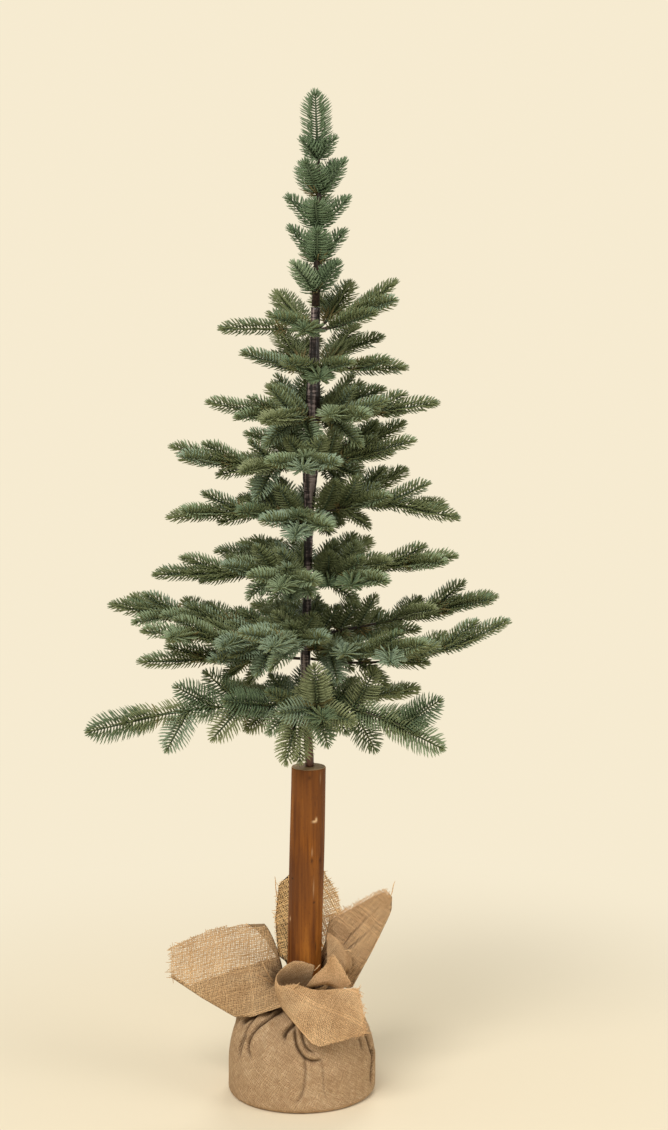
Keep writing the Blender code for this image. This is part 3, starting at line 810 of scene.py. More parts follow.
SHOOT_BOW = 0.035  # how far a shoot's tip turns up, as a share of its length


def fit_outline(distance, angle, size, shoot_length, reach):
    """The needle's length, cut so that it ends inside the rounded outline of the shoot."""
    chord = math.radians(angle - CHORD_TURN * NEEDLE_BEND)
    while size > SHORTEST * reach:
        over = (distance + size * math.cos(chord) - shoot_length + TIP_ROUND) / TIP_ROUND
        if over <= 0.0:
            break
        if over < 1.0 and size * math.sin(chord) < reach * math.sqrt(1.0 - over * over):
            break
        size *= CUT_STEP
    return size


def needle_rows(shoot, rng):
    """(distance along, turn, sweep, length) of each needle of a shoot."""
    last = shoot.length - TIP_INSET
    scale = min(1.0, SMALL_SCALE + SCALE_GAIN * shoot.length / SIDE_SHOOT_LENGTH)
    upright = shoot.direction.z > UPRIGHT
    pitch = NEEDLE_PITCH * (UPRIGHT_PITCH if upright else 1.0)
    if shoot.ring == 0:
        scale *= UPRIGHT_SHARE if upright else LEADER_SWELL
    rows = []
    for turn, sweep, length, start in RANKS:
        if upright and turn == TOP_RANK:
            continue
        distance = FIRST_STATION + start * pitch
        longest = length * scale
        reach = longest * math.sin(math.radians(sweep - CHORD_TURN * NEEDLE_BEND))
        while distance < last:
            share = distance / last
            base = max(0.0, 1.0 - share / BASE_SHARE)
            tip = max(0.0, (share - TIP_FROM) / TIP_SHARE)
            angle = sweep + (TIP_SWEEP - sweep) * tip ** 1.5 + BASE_SPREAD * base
            angle += rng.gauss(0, SWEEP_JITTER)
            size = longest * (1.0 - BASE_CUT * base) * rng.uniform(*LENGTHS)
            size = fit_outline(distance, angle, size, shoot.length, reach)
            jitter = JITTER + BASE_JITTER * base + TIP_JITTER * tip
            rows.append((distance, turn + rng.gauss(0, jitter), angle, size))
            distance += pitch
    for turn, sweep in TIP_NEEDLES:
        turn, sweep = turn + rng.gauss(0, LAST_TURN_JITTER), sweep + rng.gauss(0, LAST_SWEEP_JITTER)
        rows.append((last, turn, sweep, TIP_NEEDLE_LENGTH * rng.uniform(*TIP_LENGTHS)))
    return np.array(rows)


def place_needles(shoot, rows, bow):
    """Points of every needle of a shoot, as an array of needle, point, coordinate."""
    distance, turn, sweep, length = rows.T[:, :, None]
    turn, sweep = np.radians(turn), np.radians(sweep)
    axis, up = np.array(shoot.direction), np.array(shoot.up)
    side = np.cross(axis, up)
    lean = 2.0 * bow * distance / shoot.length
    centre = np.array(shoot.root) + axis * distance + up * bow * distance ** 2 / shoot.length
    ahead = axis + up * lean
    ahead /= np.linalg.norm(ahead, axis=1, keepdims=True)
    over = up - ahead * (ahead @ up)[:, None]
    over /= np.linalg.norm(over, axis=1, keepdims=True)
    away = side * np.cos(turn) + over * np.sin(turn)
    across = np.cross(ahead, away)
    across *= np.where((across @ up)[:, None] < 0, -1.0, 1.0)
    x, y, z = NEEDLE[0].T
    bend = math.radians(NEEDLE_BEND)
    angle = sweep - bend * (z - BEND_MIDDLE)
    first = sweep + BEND_MIDDLE * bend
    forward = (np.sin(first) - np.sin(angle)) / bend
    outward = (np.cos(angle) - np.cos(first)) / bend
    width = NEEDLE_WIDTH * np.minimum(1.0, length / FULL_WIDTH_LENGTH)
    placed = centre[:, None] + length[:, :, None] * (
        ahead[:, None] * forward[..., None] + away[:, None] * outward[..., None]
    )
    blade = ahead[:, None] * np.sin(angle)[..., None] - away[:, None] * np.cos(angle)[..., None]
    flat, keel = (x * width)[..., None], (y * width)[..., None]
    turned, square = math.sin(math.radians(NEEDLE_TWIST)), math.cos(math.radians(NEEDLE_TWIST))
    placed += blade * (square * flat + turned * keel)
    placed += across[:, None] * (square * keel - turned * flat)
    return placed


# %% [markdown]
# ## Colours of the needles
#
# Each shoot gets one of four greens, dealt out by a seeded draw. The needles nearest the
# wire are sometimes older and browner. The colours are plain values on the shader, so each
# needle keeps its own tone wherever it goes, and a fine moulded grain comes from a bump.

# %% Needle materials
GREENS = {
    "needle_blue_green": (0.318, 0.418, 0.290),
    "needle_green": (0.312, 0.400, 0.238),
    "needle_deep_green": (0.170, 0.242, 0.135),
    "needle_moss": (0.330, 0.370, 0.190),
    # the keel's darker, yellower tone is partly the moulding's own and partly painted shade under
    # the needle
    "needle_keel": (0.200, 0.230, 0.104),
    "needle_keel_brown": (0.230, 0.185, 0.075),
    "needle_old": (0.250, 0.225, 0.090),
    # painted shade: the axes are darker than their own green, for the shade they lie in among the
    # needles
    "needle_axis_shaded": (0.085, 0.120, 0.065),
}
TOPS = ("needle_blue_green", "needle_green", "needle_deep_green", "needle_moss")
TOP_WEIGHTS = (0.47, 0.38, 0.08, 0.07)
LOW_WEIGHTS = (0.10, 0.32, 0.18, 0.40)  # the lowest ring is yellower
HIGH_WEIGHTS = (0.12, 0.10, 0.78, 0.00)  # the two highest rings are darker
LEADER_WEIGHTS = (0.02, 0.08, 0.90, 0.00)  # and so is the top section
HIGH_RING = 7
OLD_SHARE = 0.16  # of the shoot's length, from the wire
OLD_CHANCE = 0.35


def needle_material(name, colour):
    material, tree, shader = new_material(name)
    set_inputs(shader, Base_Color=(*colour, 1.0), Roughness=0.52, Specular_IOR_Level=0.28)
    raise_bump(tree, shader, noise_of(tree, object_space(tree), 900.0, detail=2.0), 0.0004, 0.25)
    return material


needle_materials = {name: needle_material(name, colour) for name, colour in GREENS.items()}
material_number = {name: number for number, name in enumerate(GREENS)}
print(len(GREENS), "needle materials")


def weights_of(ring):
    if ring == 0:
        return LEADER_WEIGHTS
    if ring <= HIGH_RING:
        return HIGH_WEIGHTS
    return LOW_WEIGHTS if ring >= LOW_RING else TOP_WEIGHTS


def tones_of(rows, ring, rng):
    """The material of each needle's top and keel. In the top section both are one green."""
    top = rng.choices(TOPS, weights_of(ring))[0]
    keel = "needle_keel" if ring else top
    old = rng.random() < OLD_CHANCE
    tones = np.empty((len(rows), 2), int)
    tones[:] = material_number[top], material_number[keel]
    if old:
        share = rows[:, 0] / rows[:, 0].max()
        brown = material_number["needle_old"], material_number["needle_keel_brown"]
        tones[share < OLD_SHARE] = brown
    return tones


# %% [markdown]
# ## The axes of the shoots
#
# Under the needles each shoot has a thin green axis, thickest where it leaves the wire, in a
# darker green that is painted shade. It is a five-sided cone with a ring in the middle, so
# that it can follow the shoot's slight bow.

# %% One axis
AXIS_RADIUS = 0.0023
AXIS_END = 0.5  # radius at the tip, against the root
AXIS_SIDES = 5


def unit_axis():
    """Points and triangles of a tapering stem one long, with a radius of one at its root."""
    bm = bmesh.new()
    bmesh.ops.create_cone(
        bm, cap_ends=True, segments=AXIS_SIDES, radius1=1.0, radius2=AXIS_END, depth=1.0
    )
    bmesh.ops.translate(bm, verts=bm.verts, vec=(0.0, 0.0, 0.5))
    parts = bm.verts[:] + bm.edges[:] + bm.faces[:]
    bmesh.ops.bisect_plane(bm, geom=parts, plane_co=(0, 0, 0.5), plane_no=(0, 0, 1))
    bmesh.ops.triangulate(bm, faces=bm.faces)
    points = np.array([vert.co for vert in bm.verts])
    triangles = np.array([[vert.index for vert in face.verts] for face in bm.faces])
    bm.free()
    return points, triangles


AXIS = unit_axis()


def place_axis(shoot, bow):
    """Points of the axis of one shoot, as an array of one copy, point, coordinate."""
    x, y, z = AXIS[0].T[:, :, None]
    axis, up = np.array(shoot.direction), np.array(shoot.up)
    length = shoot.length - TIP_INSET
    centre = np.array(shoot.root) + axis * z * length + up * bow * length * z ** 2
    return (centre + (np.cross(axis, up) * x + up * y) * AXIS_RADIUS)[None]


# %% Join the copies into pieces
RING_SEED = 900
BOW_JITTER = 0.025


def mesh_of_copies(name, points, triangles, tones, materials):
    """One mesh from placed copies. tones holds the material number of each copy's triangles."""
    copies, corners = points.shape[:2]
    faces = (triangles[None] + np.arange(copies)[:, None, None] * corners).reshape(-1, 3)
    mesh = bpy.data.meshes.new(name)
    mesh.vertices.add(copies * corners)
    mesh.vertices.foreach_set("co", points.reshape(-1))
    mesh.loops.add(faces.size)
    mesh.loops.foreach_set("vertex_index", faces.reshape(-1))
    mesh.polygons.add(len(faces))
    mesh.polygons.foreach_set("loop_start", np.arange(0, faces.size, 3))
    mesh.polygons.foreach_set("material_index", tones.reshape(-1))
    mesh.update(calc_edges=True)
    for material in materials:
        mesh.materials.append(material)
    return mesh


def add_piece(name, mesh, slot, *replaced):
    """A visible piece that takes the place of these solids."""
    piece = bpy.data.objects.new(name, mesh)
    fir.objects.link(piece)
    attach(piece, "root")
    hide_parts(*replaced)


def ring_nodes(ring):
    """The solids that the shoots of one ring stand for. Ring 0 is the top of the tree."""
    if ring == 0:
        return ["tree_top"]
    return [name for name in nodes if name.startswith(f"foliage_{ring:02d}_")]


def dress_ring(ring, members):
    """The needles of a ring's shoots are one piece, and their axes are another."""
    rng = random.Random(RING_SEED + ring)
    needles, tones, axes = [], [], []
    for shoot in members:
        bow = rng.gauss(SHOOT_BOW, BOW_JITTER)
        rows = needle_rows(shoot, rng)
        needles.append(place_needles(shoot, rows, bow))
        tones.append(tones_of(rows, ring, rng)[:, NEEDLE[2]])
        axes.append(place_axis(shoot, bow))
    name = f"ring_{ring:02d}" if ring else "top"
    needle_mesh = mesh_of_copies(
        f"needles_{name}", np.concatenate(needles), NEEDLE[1], np.concatenate(tones),
        needle_materials.values(),
    )
    add_piece(f"needles_{name}", needle_mesh, "needles", *ring_nodes(ring))
    axis_points = np.concatenate(axes)
    axis_tones = np.zeros((len(axis_points), len(AXIS[1])), int)
    axis_mesh = mesh_of_copies(
        f"axes_{name}", axis_points, AXIS[1], axis_tones, [needle_materials["needle_axis_shaded"]]
    )
    axis_mesh.shade_smooth()
    add_piece(f"axes_{name}", axis_mesh, "needles", *ring_nodes(ring))
    return len(needle_mesh.polygons), len(axis_mesh.polygons)


members_of = defaultdict(list)
for shoot in shoots:
    members_of[shoot.ring].append(shoot)
for ring, members in sorted(members_of.items()):
    print("ring", ring, len(members), "shoots,", *dress_ring(ring, members), "triangles")

# %% [markdown]
# ## Wires of the boughs
#
# Each bough is a steel wire wound with dark brown paper tape. The tape leaves a slight ridge
# at every turn. A curve with a round bevel makes a wire, all wires share one curve, and the
# radius of its points gives the taper. The curve is then made a mesh.

# %% Wires
WIRE_STATIONS = 14
WIRE_SIDES = 2  # steps of a quarter of its round
SHORTEST_WIRE = 0.02
WIRE_END = SHOOT_LENGTH * 0.7  # how far the wire stops from the tip
WELD = 0.00001


def wire_material():
    """Dark brown paper tape, paler in blotches."""
    material, tree, shader = new_material("wire_tape")
    blotch = noise_of(tree, object_space(tree), 240.0)
    tape = ramp_of(tree, blotch, (0.35, (0.012, 0.008, 0.006)), (0.70, (0.075, 0.045, 0.030)))
    finish(tree, shader, tape, blotch, 0.0006, 0.6, Roughness=0.55, Specular_IOR_Level=0.35)
    return material


def new_curve(name, radius, sides):
    """A curve data block whose splines become round rods with filled ends."""
    curve = bpy.data.curves.new(name, "CURVE")
    curve.dimensions = "3D"
    curve.bevel_depth = radius
    curve.bevel_resolution = sides
    curve.use_fill_caps = True
    return curve


def add_rod(curve, points, shares):
    """A spline through the points. shares scale the curve's bevel at each of them."""
    spline = curve.splines.new("POLY")
    spline.points.add(len(points) - 1)
    for knot, point, share in zip(spline.points, points, shares):
        knot.co = (*point, 1.0)
        knot.radius = share


def mesh_of_curve(curve, *materials):
    """The curve as a mesh with its caps welded. The curve is removed."""
    for material in materials:
        curve.materials.append(material)
    holder = bpy.data.objects.new(curve.name, curve)
    fir.objects.link(holder)
    graph = bpy.context.evaluated_depsgraph_get()
    mesh = bpy.data.meshes.new_from_object(holder.evaluated_get(graph))
    bpy.data.objects.remove(holder, do_unlink=True)
    bm = bmesh.new()
    bm.from_mesh(mesh)
    bmesh.ops.remove_doubles(bm, verts=bm.verts, dist=WELD)
    bm.to_mesh(mesh)
    bm.free()
    mesh.materials.clear()
    for material in materials:
        mesh.materials.append(material)
    mesh.shade_smooth()
    return mesh


def make_wires():
    """The wires of the boughs and of the top section, which are one piece."""
    curve = new_curve("bough_wires", BOUGH_ROOT_RADIUS, WIRE_SIDES)
    for plan in BOUGHS:
        route = bough_curve(plan)
        end = max(curve_length(route) - WIRE_END, SHORTEST_WIRE)
        shares = [k / (WIRE_STATIONS - 1) for k in range(WIRE_STATIONS)]
        points = [curve_point(route, share_at(route, end * share)) for share in shares]
        taper = BOUGH_END_RADIUS / BOUGH_ROOT_RADIUS
        add_rod(curve, points, [1.0 + (taper - 1.0) * share for share in shares])
    add_rod(
        curve,
        [(x, 0.0, height) for height, x, _ in LEADER_KNOTS],
        [radius / BOUGH_ROOT_RADIUS for _, _, radius in LEADER_KNOTS],
    )
    mesh = mesh_of_curve(curve, wire_material())
    limbs = [name for name in nodes if name.startswith("bough_")]
    add_piece("bough_wires", mesh, "wrapping", *limbs)
    print("wires:", len(mesh.polygons), "faces")


make_wires()

# %% [markdown]
# ## The pole and the log
#
# Both are long round pieces whose skins are worked in detail. A flat grid is rolled up into a
# tube: its columns go round, its rows go along, and rows of radius zero close the two ends.
# A grid keeps an even density of faces, so that small dents can be pushed in anywhere, and
# its own squares give the UV map in metres.

# %% Roll a grid into a closed skin
CAP_DEPTH = 0.0012  # faces this close to the top take the second material
SKIN_WELD = 0.000001


def rolled_point(bearing, radius, height, shift=0.0):
    """Points at bearings in degrees from the front, to the right, round an axis at X=shift."""
    angle = np.radians(bearing)
    return np.stack([shift + radius * np.sin(angle), -radius * np.cos(angle), height], axis=-1)


def rolled_skin(name, stations, columns, shape, *materials):
    """A closed skin. stations are rows of (radius, height), and shape(bearing, radius,
    height) gives their points."""
    bm = bmesh.new()
    uv = bm.loops.layers.uv.new("UVMap")
    rows = len(stations) - 1
    bmesh.ops.create_grid(bm, x_segments=columns, y_segments=rows, size=0.5, calc_uvs=True)
    flat = np.array([vert.co for vert in bm.verts])
    row = np.rint((flat[:, 1] + 0.5) * rows).astype(int)
    radius, height = np.array(stations).T
    along = np.concatenate([[0.0], np.cumsum(np.hypot(np.diff(radius), np.diff(height)))])
    for vert, point in zip(bm.verts, shape(flat[:, 0] * 360.0, radius[row], height[row])):
        vert.co = point
    girth = 2.0 * math.pi * radius.max()
    for face in bm.faces:
        for loop in face.loops:
            u, v = loop[uv].uv
            loop[uv].uv = u * girth, along[round(v * rows)]
        low = min(round(loop.vert.co.z, 9) for loop in face.loops)
        face.smooth = True
        face.material_index = int(len(materials) > 1 and low >= height[-1] - CAP_DEPTH)
    bmesh.ops.remove_doubles(bm, verts=bm.verts, dist=SKIN_WELD)
    bmesh.ops.recalc_face_normals(bm, faces=bm.faces)
    mesh = mesh_from(bm, name, *materials)
    print(name, len(mesh.polygons), "faces")
    return mesh


def smooth_noise(seed, reach):
    """A slow random function of bearing and height, between about -1 and 1."""
    rng = random.Random(seed)
    waves = [(rng.randint(1, reach), rng.uniform(0, 360), rng.uniform(8, 40) * rng.choice((-1, 1)))
             for _ in range(6)]

    def value(bearing, height):
        total = 0.0
        for turns, phase, rise in waves:
            total = total + np.sin(np.radians(turns * bearing + phase) + rise * height)
        return total / 3.0

    return value


# %% The pole
POLE_FOOT = 0.5045
POLE_ROW, POLE_COLUMNS = 0.0024, 30
POLE_CAP = 0.0005
TAPE_PITCH = 0.0125
TAPE_STEP = 0.0005  # how far each turn of tape stands over the last
BUNDLE = 0.07  # how much the wires under the tape ridge it, as a share of the radius
BUNDLE_RIDGES, BUNDLE_TWIST = 2.5, 9.0  # ridges in half a round, and radians per metre
RED_BELOW, RED_GAIN, REDDEST = 0.58, 16.0, 0.92  # the tape turns redder below this height


def pole_skin(bearing, radius, height):
    """The tape's turns climb the pole in a screw, over a bundle of wire ends."""
    knots = np.array(POLE_KNOTS)
    shift = np.interp(height, knots[:, 0], knots[:, 1])
    ridges = np.abs(np.sin(np.radians(bearing) * BUNDLE_RIDGES + BUNDLE_TWIST * height)) - 0.6
    turn = (height / TAPE_PITCH + bearing / 360.0) % 1.0
    out = radius * (1.0 + BUNDLE * ridges) + (radius > 0.001) * TAPE_STEP * (turn - 0.5)
    return rolled_point(bearing, out, height, shift)


def pole_material():
    """Dark plum-brown tape with pale pinkish-grey streaks, partly worn tape and partly a painted
    highlight, redder towards the foot.
    """
    material, tree, shader = new_material("pole_tape")
    place = object_space(tree)
    rub_and_sheen = noise_of(tree, place, 170.0, (1.0, 1.0, 0.05))
    wraps = noise_of(tree, place, 40.0, (1.0, 1.0, 14.0), detail=2.0)
    mixed = weighted(tree, (wraps, 0.35), (rub_and_sheen, 0.75))
    # The pale end of this ramp is partly worn tape and partly a painted highlight along the pole.
    tape = ramp_of(tree, mixed, (0.48, (0.010, 0.006, 0.007)), (0.57, (0.040, 0.025, 0.025)),
                   (0.64, (0.340, 0.265, 0.250)))
    redder = ramp_of(tree, rub_and_sheen, (0.40, (0.085, 0.026, 0.014)), (0.66, (0.240, 0.095, 0.055)))
    below = calc(tree, "SUBTRACT", RED_BELOW, split_axes(tree, place)["Z"])
    foot = clamp(tree, calc(tree, "MULTIPLY", below, RED_GAIN), 0.0, REDDEST)
    colour = blend(tree, foot, tape, redder)
    finish(tree, shader, colour, mixed, 0.0012, Roughness=0.36, Specular_IOR_Level=0.55)
    return material


def make_pole():
    """Rows close enough together to show each turn of the tape."""
    knots = np.array(POLE_KNOTS)
    heights = np.arange(POLE_FOOT, knots[-1, 0], POLE_ROW)
    wall = zip(np.interp(heights, knots[:, 0], knots[:, 2]), heights)
    stations = [(0.0, POLE_FOOT), *wall, (0.0, heights[-1] + POLE_CAP)]
    mesh = rolled_skin("pole_wrapped", stations, POLE_COLUMNS, pole_skin, pole_material())
    add_piece("pole_wrapped", mesh, "wrapping", "upper_pole")


make_pole()

# %% [markdown]
# The log is real wood with its rough bark peeled off, so its skin is a smooth orange-brown
# with long shallow grooves, a few pin knots and chips, and a cut top where the pale wood
# shows. The grooves and dents are pushed into the mesh. The chips' colour is kept in an
# attribute of the points, because a chip shows paler or darker wood than the skin round it.

# %% The log
LOG_RADIUS = 0.026
LOG_FOOT = Vector((0.0018, 0.0, 0.0600))
LOG_TOP = Vector((0.0115, 0.0, 0.5037))
LOG_ROW, LOG_COLUMNS = 0.0018, 120
LOG_EDGE = 0.0012  # the cut top's worn edge
LOG_WAVES = (  # seed, most waves round the log, depth, and how fast they change along it
    (41, 3, 0.0005, 0.6),
    (42, 17, 0.0003, 0.15),
    (43, 40, 0.00012, 0.1),
)
LOG_MARKS = (  # bearing; height, half width, half height, depth in mm; tone, dark to pale
    (-52.4, 335, 1.4, 1.4, 1.1, -1),
    (29.6, 299.5, 1.4, 1.3, 1.1, -1),
    (18.8, 364, 1.8, 3.6, 0.4, -0.6),
    (50.6, 363, 1.8, 3.4, 0.4, -0.6),
    (24.6, 424.4, 3.4, 1.4, 0.5, 1),
    (31, 427.5, 1.3, 2.6, 0.4, 1),
    (4.2, 491.8, 2.2, 3, 0.3, -0.5),
    (43.8, 490, 0.6, 8, 0.3, 0.5),
    (26, 321.6, 0.6, 12, 0.3, 0.5),
    (-62.8, 271.4, 1.3, 3, 0.3, 0.8),
    (19.1, 377.2, 0.7, 6, 0.2, 0.5),
    (40, 230, 1, 9, 0.5, -0.8),
    (140, 400, 2.8, 3.4, 1, -0.9),
    (-130, 300, 2.4, 3, 1, -0.9),
    (175, 240, 1.2, 10, 0.3, 0.7),
    (-165, 440, 3, 1.4, 0.5, 0.9),
)


def log_marks(bearing, height):
    """How deep and how pale or dark the wood is at each point."""
    depth, tone = np.zeros_like(bearing), np.zeros_like(bearing)
    for at, *sizes, shade in LOG_MARKS:
        high, wide, tall, deep = metres(tuple(sizes))
        across = ((bearing - at + 180.0) % 360.0 - 180.0) * math.radians(1.0) * LOG_RADIUS
        near = np.exp(-((across / wide) ** 2 + ((height - high) / tall) ** 2))
        depth += deep * near
        tone += shade * near
    return depth, tone


def log_middle(height):
    """The X of the log's middle at a height, for the log leans a little."""
    share = (height - LOG_FOOT.z) / (LOG_TOP.z - LOG_FOOT.z)
    return LOG_FOOT.x + (LOG_TOP.x - LOG_FOOT.x) * share


def log_skin(bearing, radius, height):
    """Grooves that run along the log, and the dents of its marks."""
    worked = 0.0
    for seed, reach, deep, speed in LOG_WAVES:
        worked = worked + deep * smooth_noise(seed, reach)(bearing, height * speed)
    depth, _ = log_marks(bearing, height)
    out = radius + np.where(radius > LOG_RADIUS * 0.97, worked - depth, 0.0)
    return rolled_point(bearing, out, height, log_middle(height))


def log_material():
    """Peeled orange-brown wood: long streaks, fine pores and the marks."""
    material, tree, shader = new_material("peeled_wood")
    place = object_space(tree)
    broad = noise_of(tree, place, 34.0, (1.0, 1.0, 0.10))
    streak = noise_of(tree, place, 150.0, (1.0, 1.0, 0.05))
    cloud = noise_of(tree, place, 9.0, (1.0, 1.0, 0.8))
    pores = noise_of(tree, place, 700.0, (1.0, 1.0, 0.16), detail=1.0)
    grain = weighted(tree, (streak, 0.45), (broad, 0.55))
    wood = ramp_of(tree, grain, (0.40, (0.110, 0.031, 0.005)), (0.50, (0.245, 0.080, 0.011)),
                   (0.60, (0.390, 0.145, 0.022)))
    mark = kept_at_points(tree, "mark")
    dusky = calc(tree, "MULTIPLY", calc(tree, "SUBTRACT", cloud, 0.46), 5.0)
    dots = calc(tree, "MULTIPLY", calc(tree, "GREATER_THAN", pores, 0.66), 0.35)
    for factor, colour in (
        (clamp(tree, dusky, 0.0, 0.55), (0.150, 0.052, 0.014)),
        (dots, (0.075, 0.028, 0.010)),
        (clamp(tree, calc(tree, "MULTIPLY", mark, 1.4), 0.0, 1.0), (0.640, 0.420, 0.230)),
        (clamp(tree, calc(tree, "MULTIPLY", mark, -1.3), 0.0, 0.92), (0.030, 0.012, 0.006)),
    ):
        wood = blend(tree, factor, wood, colour)
    finish(tree, shader, wood, grain, 0.0008, 0.7, Roughness=0.62, Specular_IOR_Level=0.18)
    return material


def cut_wood_material():
    """The sawn end: pale wood with growth rings and saw marks."""
    material, tree, shader = new_material("cut_wood")
    place = object_space(tree)
    centre = add_node(tree, "Mapping", Location=(-LOG_TOP.x, -0.002, 0.0))
    rings = add_node(tree, "TexWave", Scale=150.0, Distortion=2.5, Detail=2.0)
    rings.wave_type = "RINGS"
    rings.rings_direction = "Z"
    link(tree, (place, centre.inputs["Vector"]), (centre.outputs["Vector"], rings.inputs["Vector"]))
    sawn = noise_of(tree, place, 420.0, (0.12, 1.0, 1.0))
    tone = weighted(tree, (rings.outputs["Fac"], 0.35), (sawn, 0.65))
    colour = ramp_of(tree, tone, (0.20, (0.300, 0.180, 0.085)), (0.65, (0.520, 0.370, 0.205)))
    finish(tree, shader, colour, sawn, 0.0004, Roughness=0.80)
    return material


def make_log():
    """The foot's disc, the wall and the cut top are one rolled skin."""
    low, high = LOG_FOOT.z, LOG_TOP.z
    wall = np.linspace(low + 0.001, high - LOG_EDGE, int((high - low) / LOG_ROW))
    stations = [(0.0, low), (LOG_RADIUS - 0.001, low)]
    stations += [(LOG_RADIUS, z) for z in wall]
    stations += [(LOG_RADIUS - 0.0003, high - 0.0005), (LOG_RADIUS - 0.0010, high)]
    stations += [(LOG_RADIUS * share, high) for share in (0.85, 0.6, 0.3, 0.0)]
    mesh = rolled_skin(
        "log_trunk", stations, LOG_COLUMNS, log_skin, log_material(), cut_wood_material()
    )
    x, y, z = np.array([vert.co for vert in mesh.vertices]).T
    _, tone = log_marks(np.degrees(np.arctan2(x - log_middle(z), -y)), z)
    keep_at_points(mesh, "mark", tone)
    add_piece("log_trunk", mesh, "bark", "wooden_trunk")


make_log()

# %% [markdown]
# ## The burlap base
#
# The base is a weighted block wrapped in a square of burlap. The cloth is drawn up over the
# block and tied at a neck round the log, so it lies smooth on the wall, puckers on the
# shoulder and breaks into folds. The skin is again a rolled grid. Each crease is a line on
# it, given by bearing and height: points near the line are pushed in or out, and darkened
# with painted shade.

# %% Burlap as a surface
WEAVE_PITCH = 0.0023
WRAP_PITCH = 0.0028  # the wrap is a slightly coarser cloth than the flaps
JUTE = (
    (0.39, (0.370, 0.224, 0.112)),
    (0.50, (0.520, 0.334, 0.176)),
    (0.61, (0.680, 0.480, 0.280)),
)
GAP_JUTE = (0.150, 0.082, 0.038)  # between the threads
PAINTED_SHADE_JUTE = (0.060, 0.030, 0.013)  # painted shade, deep in creases and under the tie
NEUTRAL = (1.0, 1.0, 1.0)


def woven(tree, uv, angle):
    """The relief of the weave's ribs, and noises that make its threads thick and thin."""
    turned = add_node(
        tree, "Mapping", Rotation=(0.0, 0.0, math.radians(angle)), Scale=(1.0 / WRAP_PITCH,) * 3
    )
    link(tree, (uv, turned.inputs["Vector"]))
    threads = turned.outputs["Vector"]
    slubs = [noise_of(tree, threads, 1.0, stretch, detail=2.0)
             for stretch in ((0.18, 1.0, 1.0), (1.0, 0.18, 1.0))]
    waver = calc(tree, "MULTIPLY", noise_of(tree, uv, 70.0, detail=3.0), 4.0)
    axes = split_axes(tree, threads)
    ribs = []
    for axis in "XY":
        phase = calc(tree, "MULTIPLY", calc(tree, "ADD", axes[axis], waver), math.pi)
        ribs.append(calc(tree, "ABSOLUTE", calc(tree, "SINE", phase)))
    return weighted(tree, (ribs[0], 0.55), (ribs[1], 0.45)), slubs


def burlap_material(name, angle=None, shade=1.0, tint=NEUTRAL):
    """Jute. With an angle it also shows the threads of the weave, from the UV map."""
    material, tree, shader = new_material(name)
    place = add_node(tree, "TexCoord").outputs
    patches = noise_of(tree, place["Object"], 26.0, detail=6.0)
    fibres = noise_of(tree, place["Object"], 700.0, detail=3.0)
    if angle is None:
        tone = weighted(tree, (fibres, 0.70), (patches, 0.30))
        height, depth, gaps = fibres, 0.0003, 0.0
    else:
        height, (warp, weft) = woven(tree, place["UV"], angle)
        tone = weighted(tree, (fibres, 0.30), (patches, 0.20), (warp, 0.28), (weft, 0.22))
        depth = 0.0012
        gaps = clamp(tree, calc(tree, "MULTIPLY_ADD", height, -2.8, 1.50), 0.0, 0.72)
    jute = ramp_of(tree, tone, *(
        (stop, tuple(shade * a * b for a, b in zip(tint, colour))) for stop, colour in JUTE))
    jute = blend(tree, gaps, jute, GAP_JUTE)
    # Painted shade: the number kept at the points darkens the jute in creases, gathers, under the
    # tie and inside the rolled cloth.
    jute = blend(tree, clamp(tree, kept_at_points(tree, "painted_shade"), 0.0, 0.88), jute, PAINTED_SHADE_JUTE)
    finish(tree, shader, jute, height, depth, Roughness=0.92, Specular_IOR_Level=0.12)
    return material


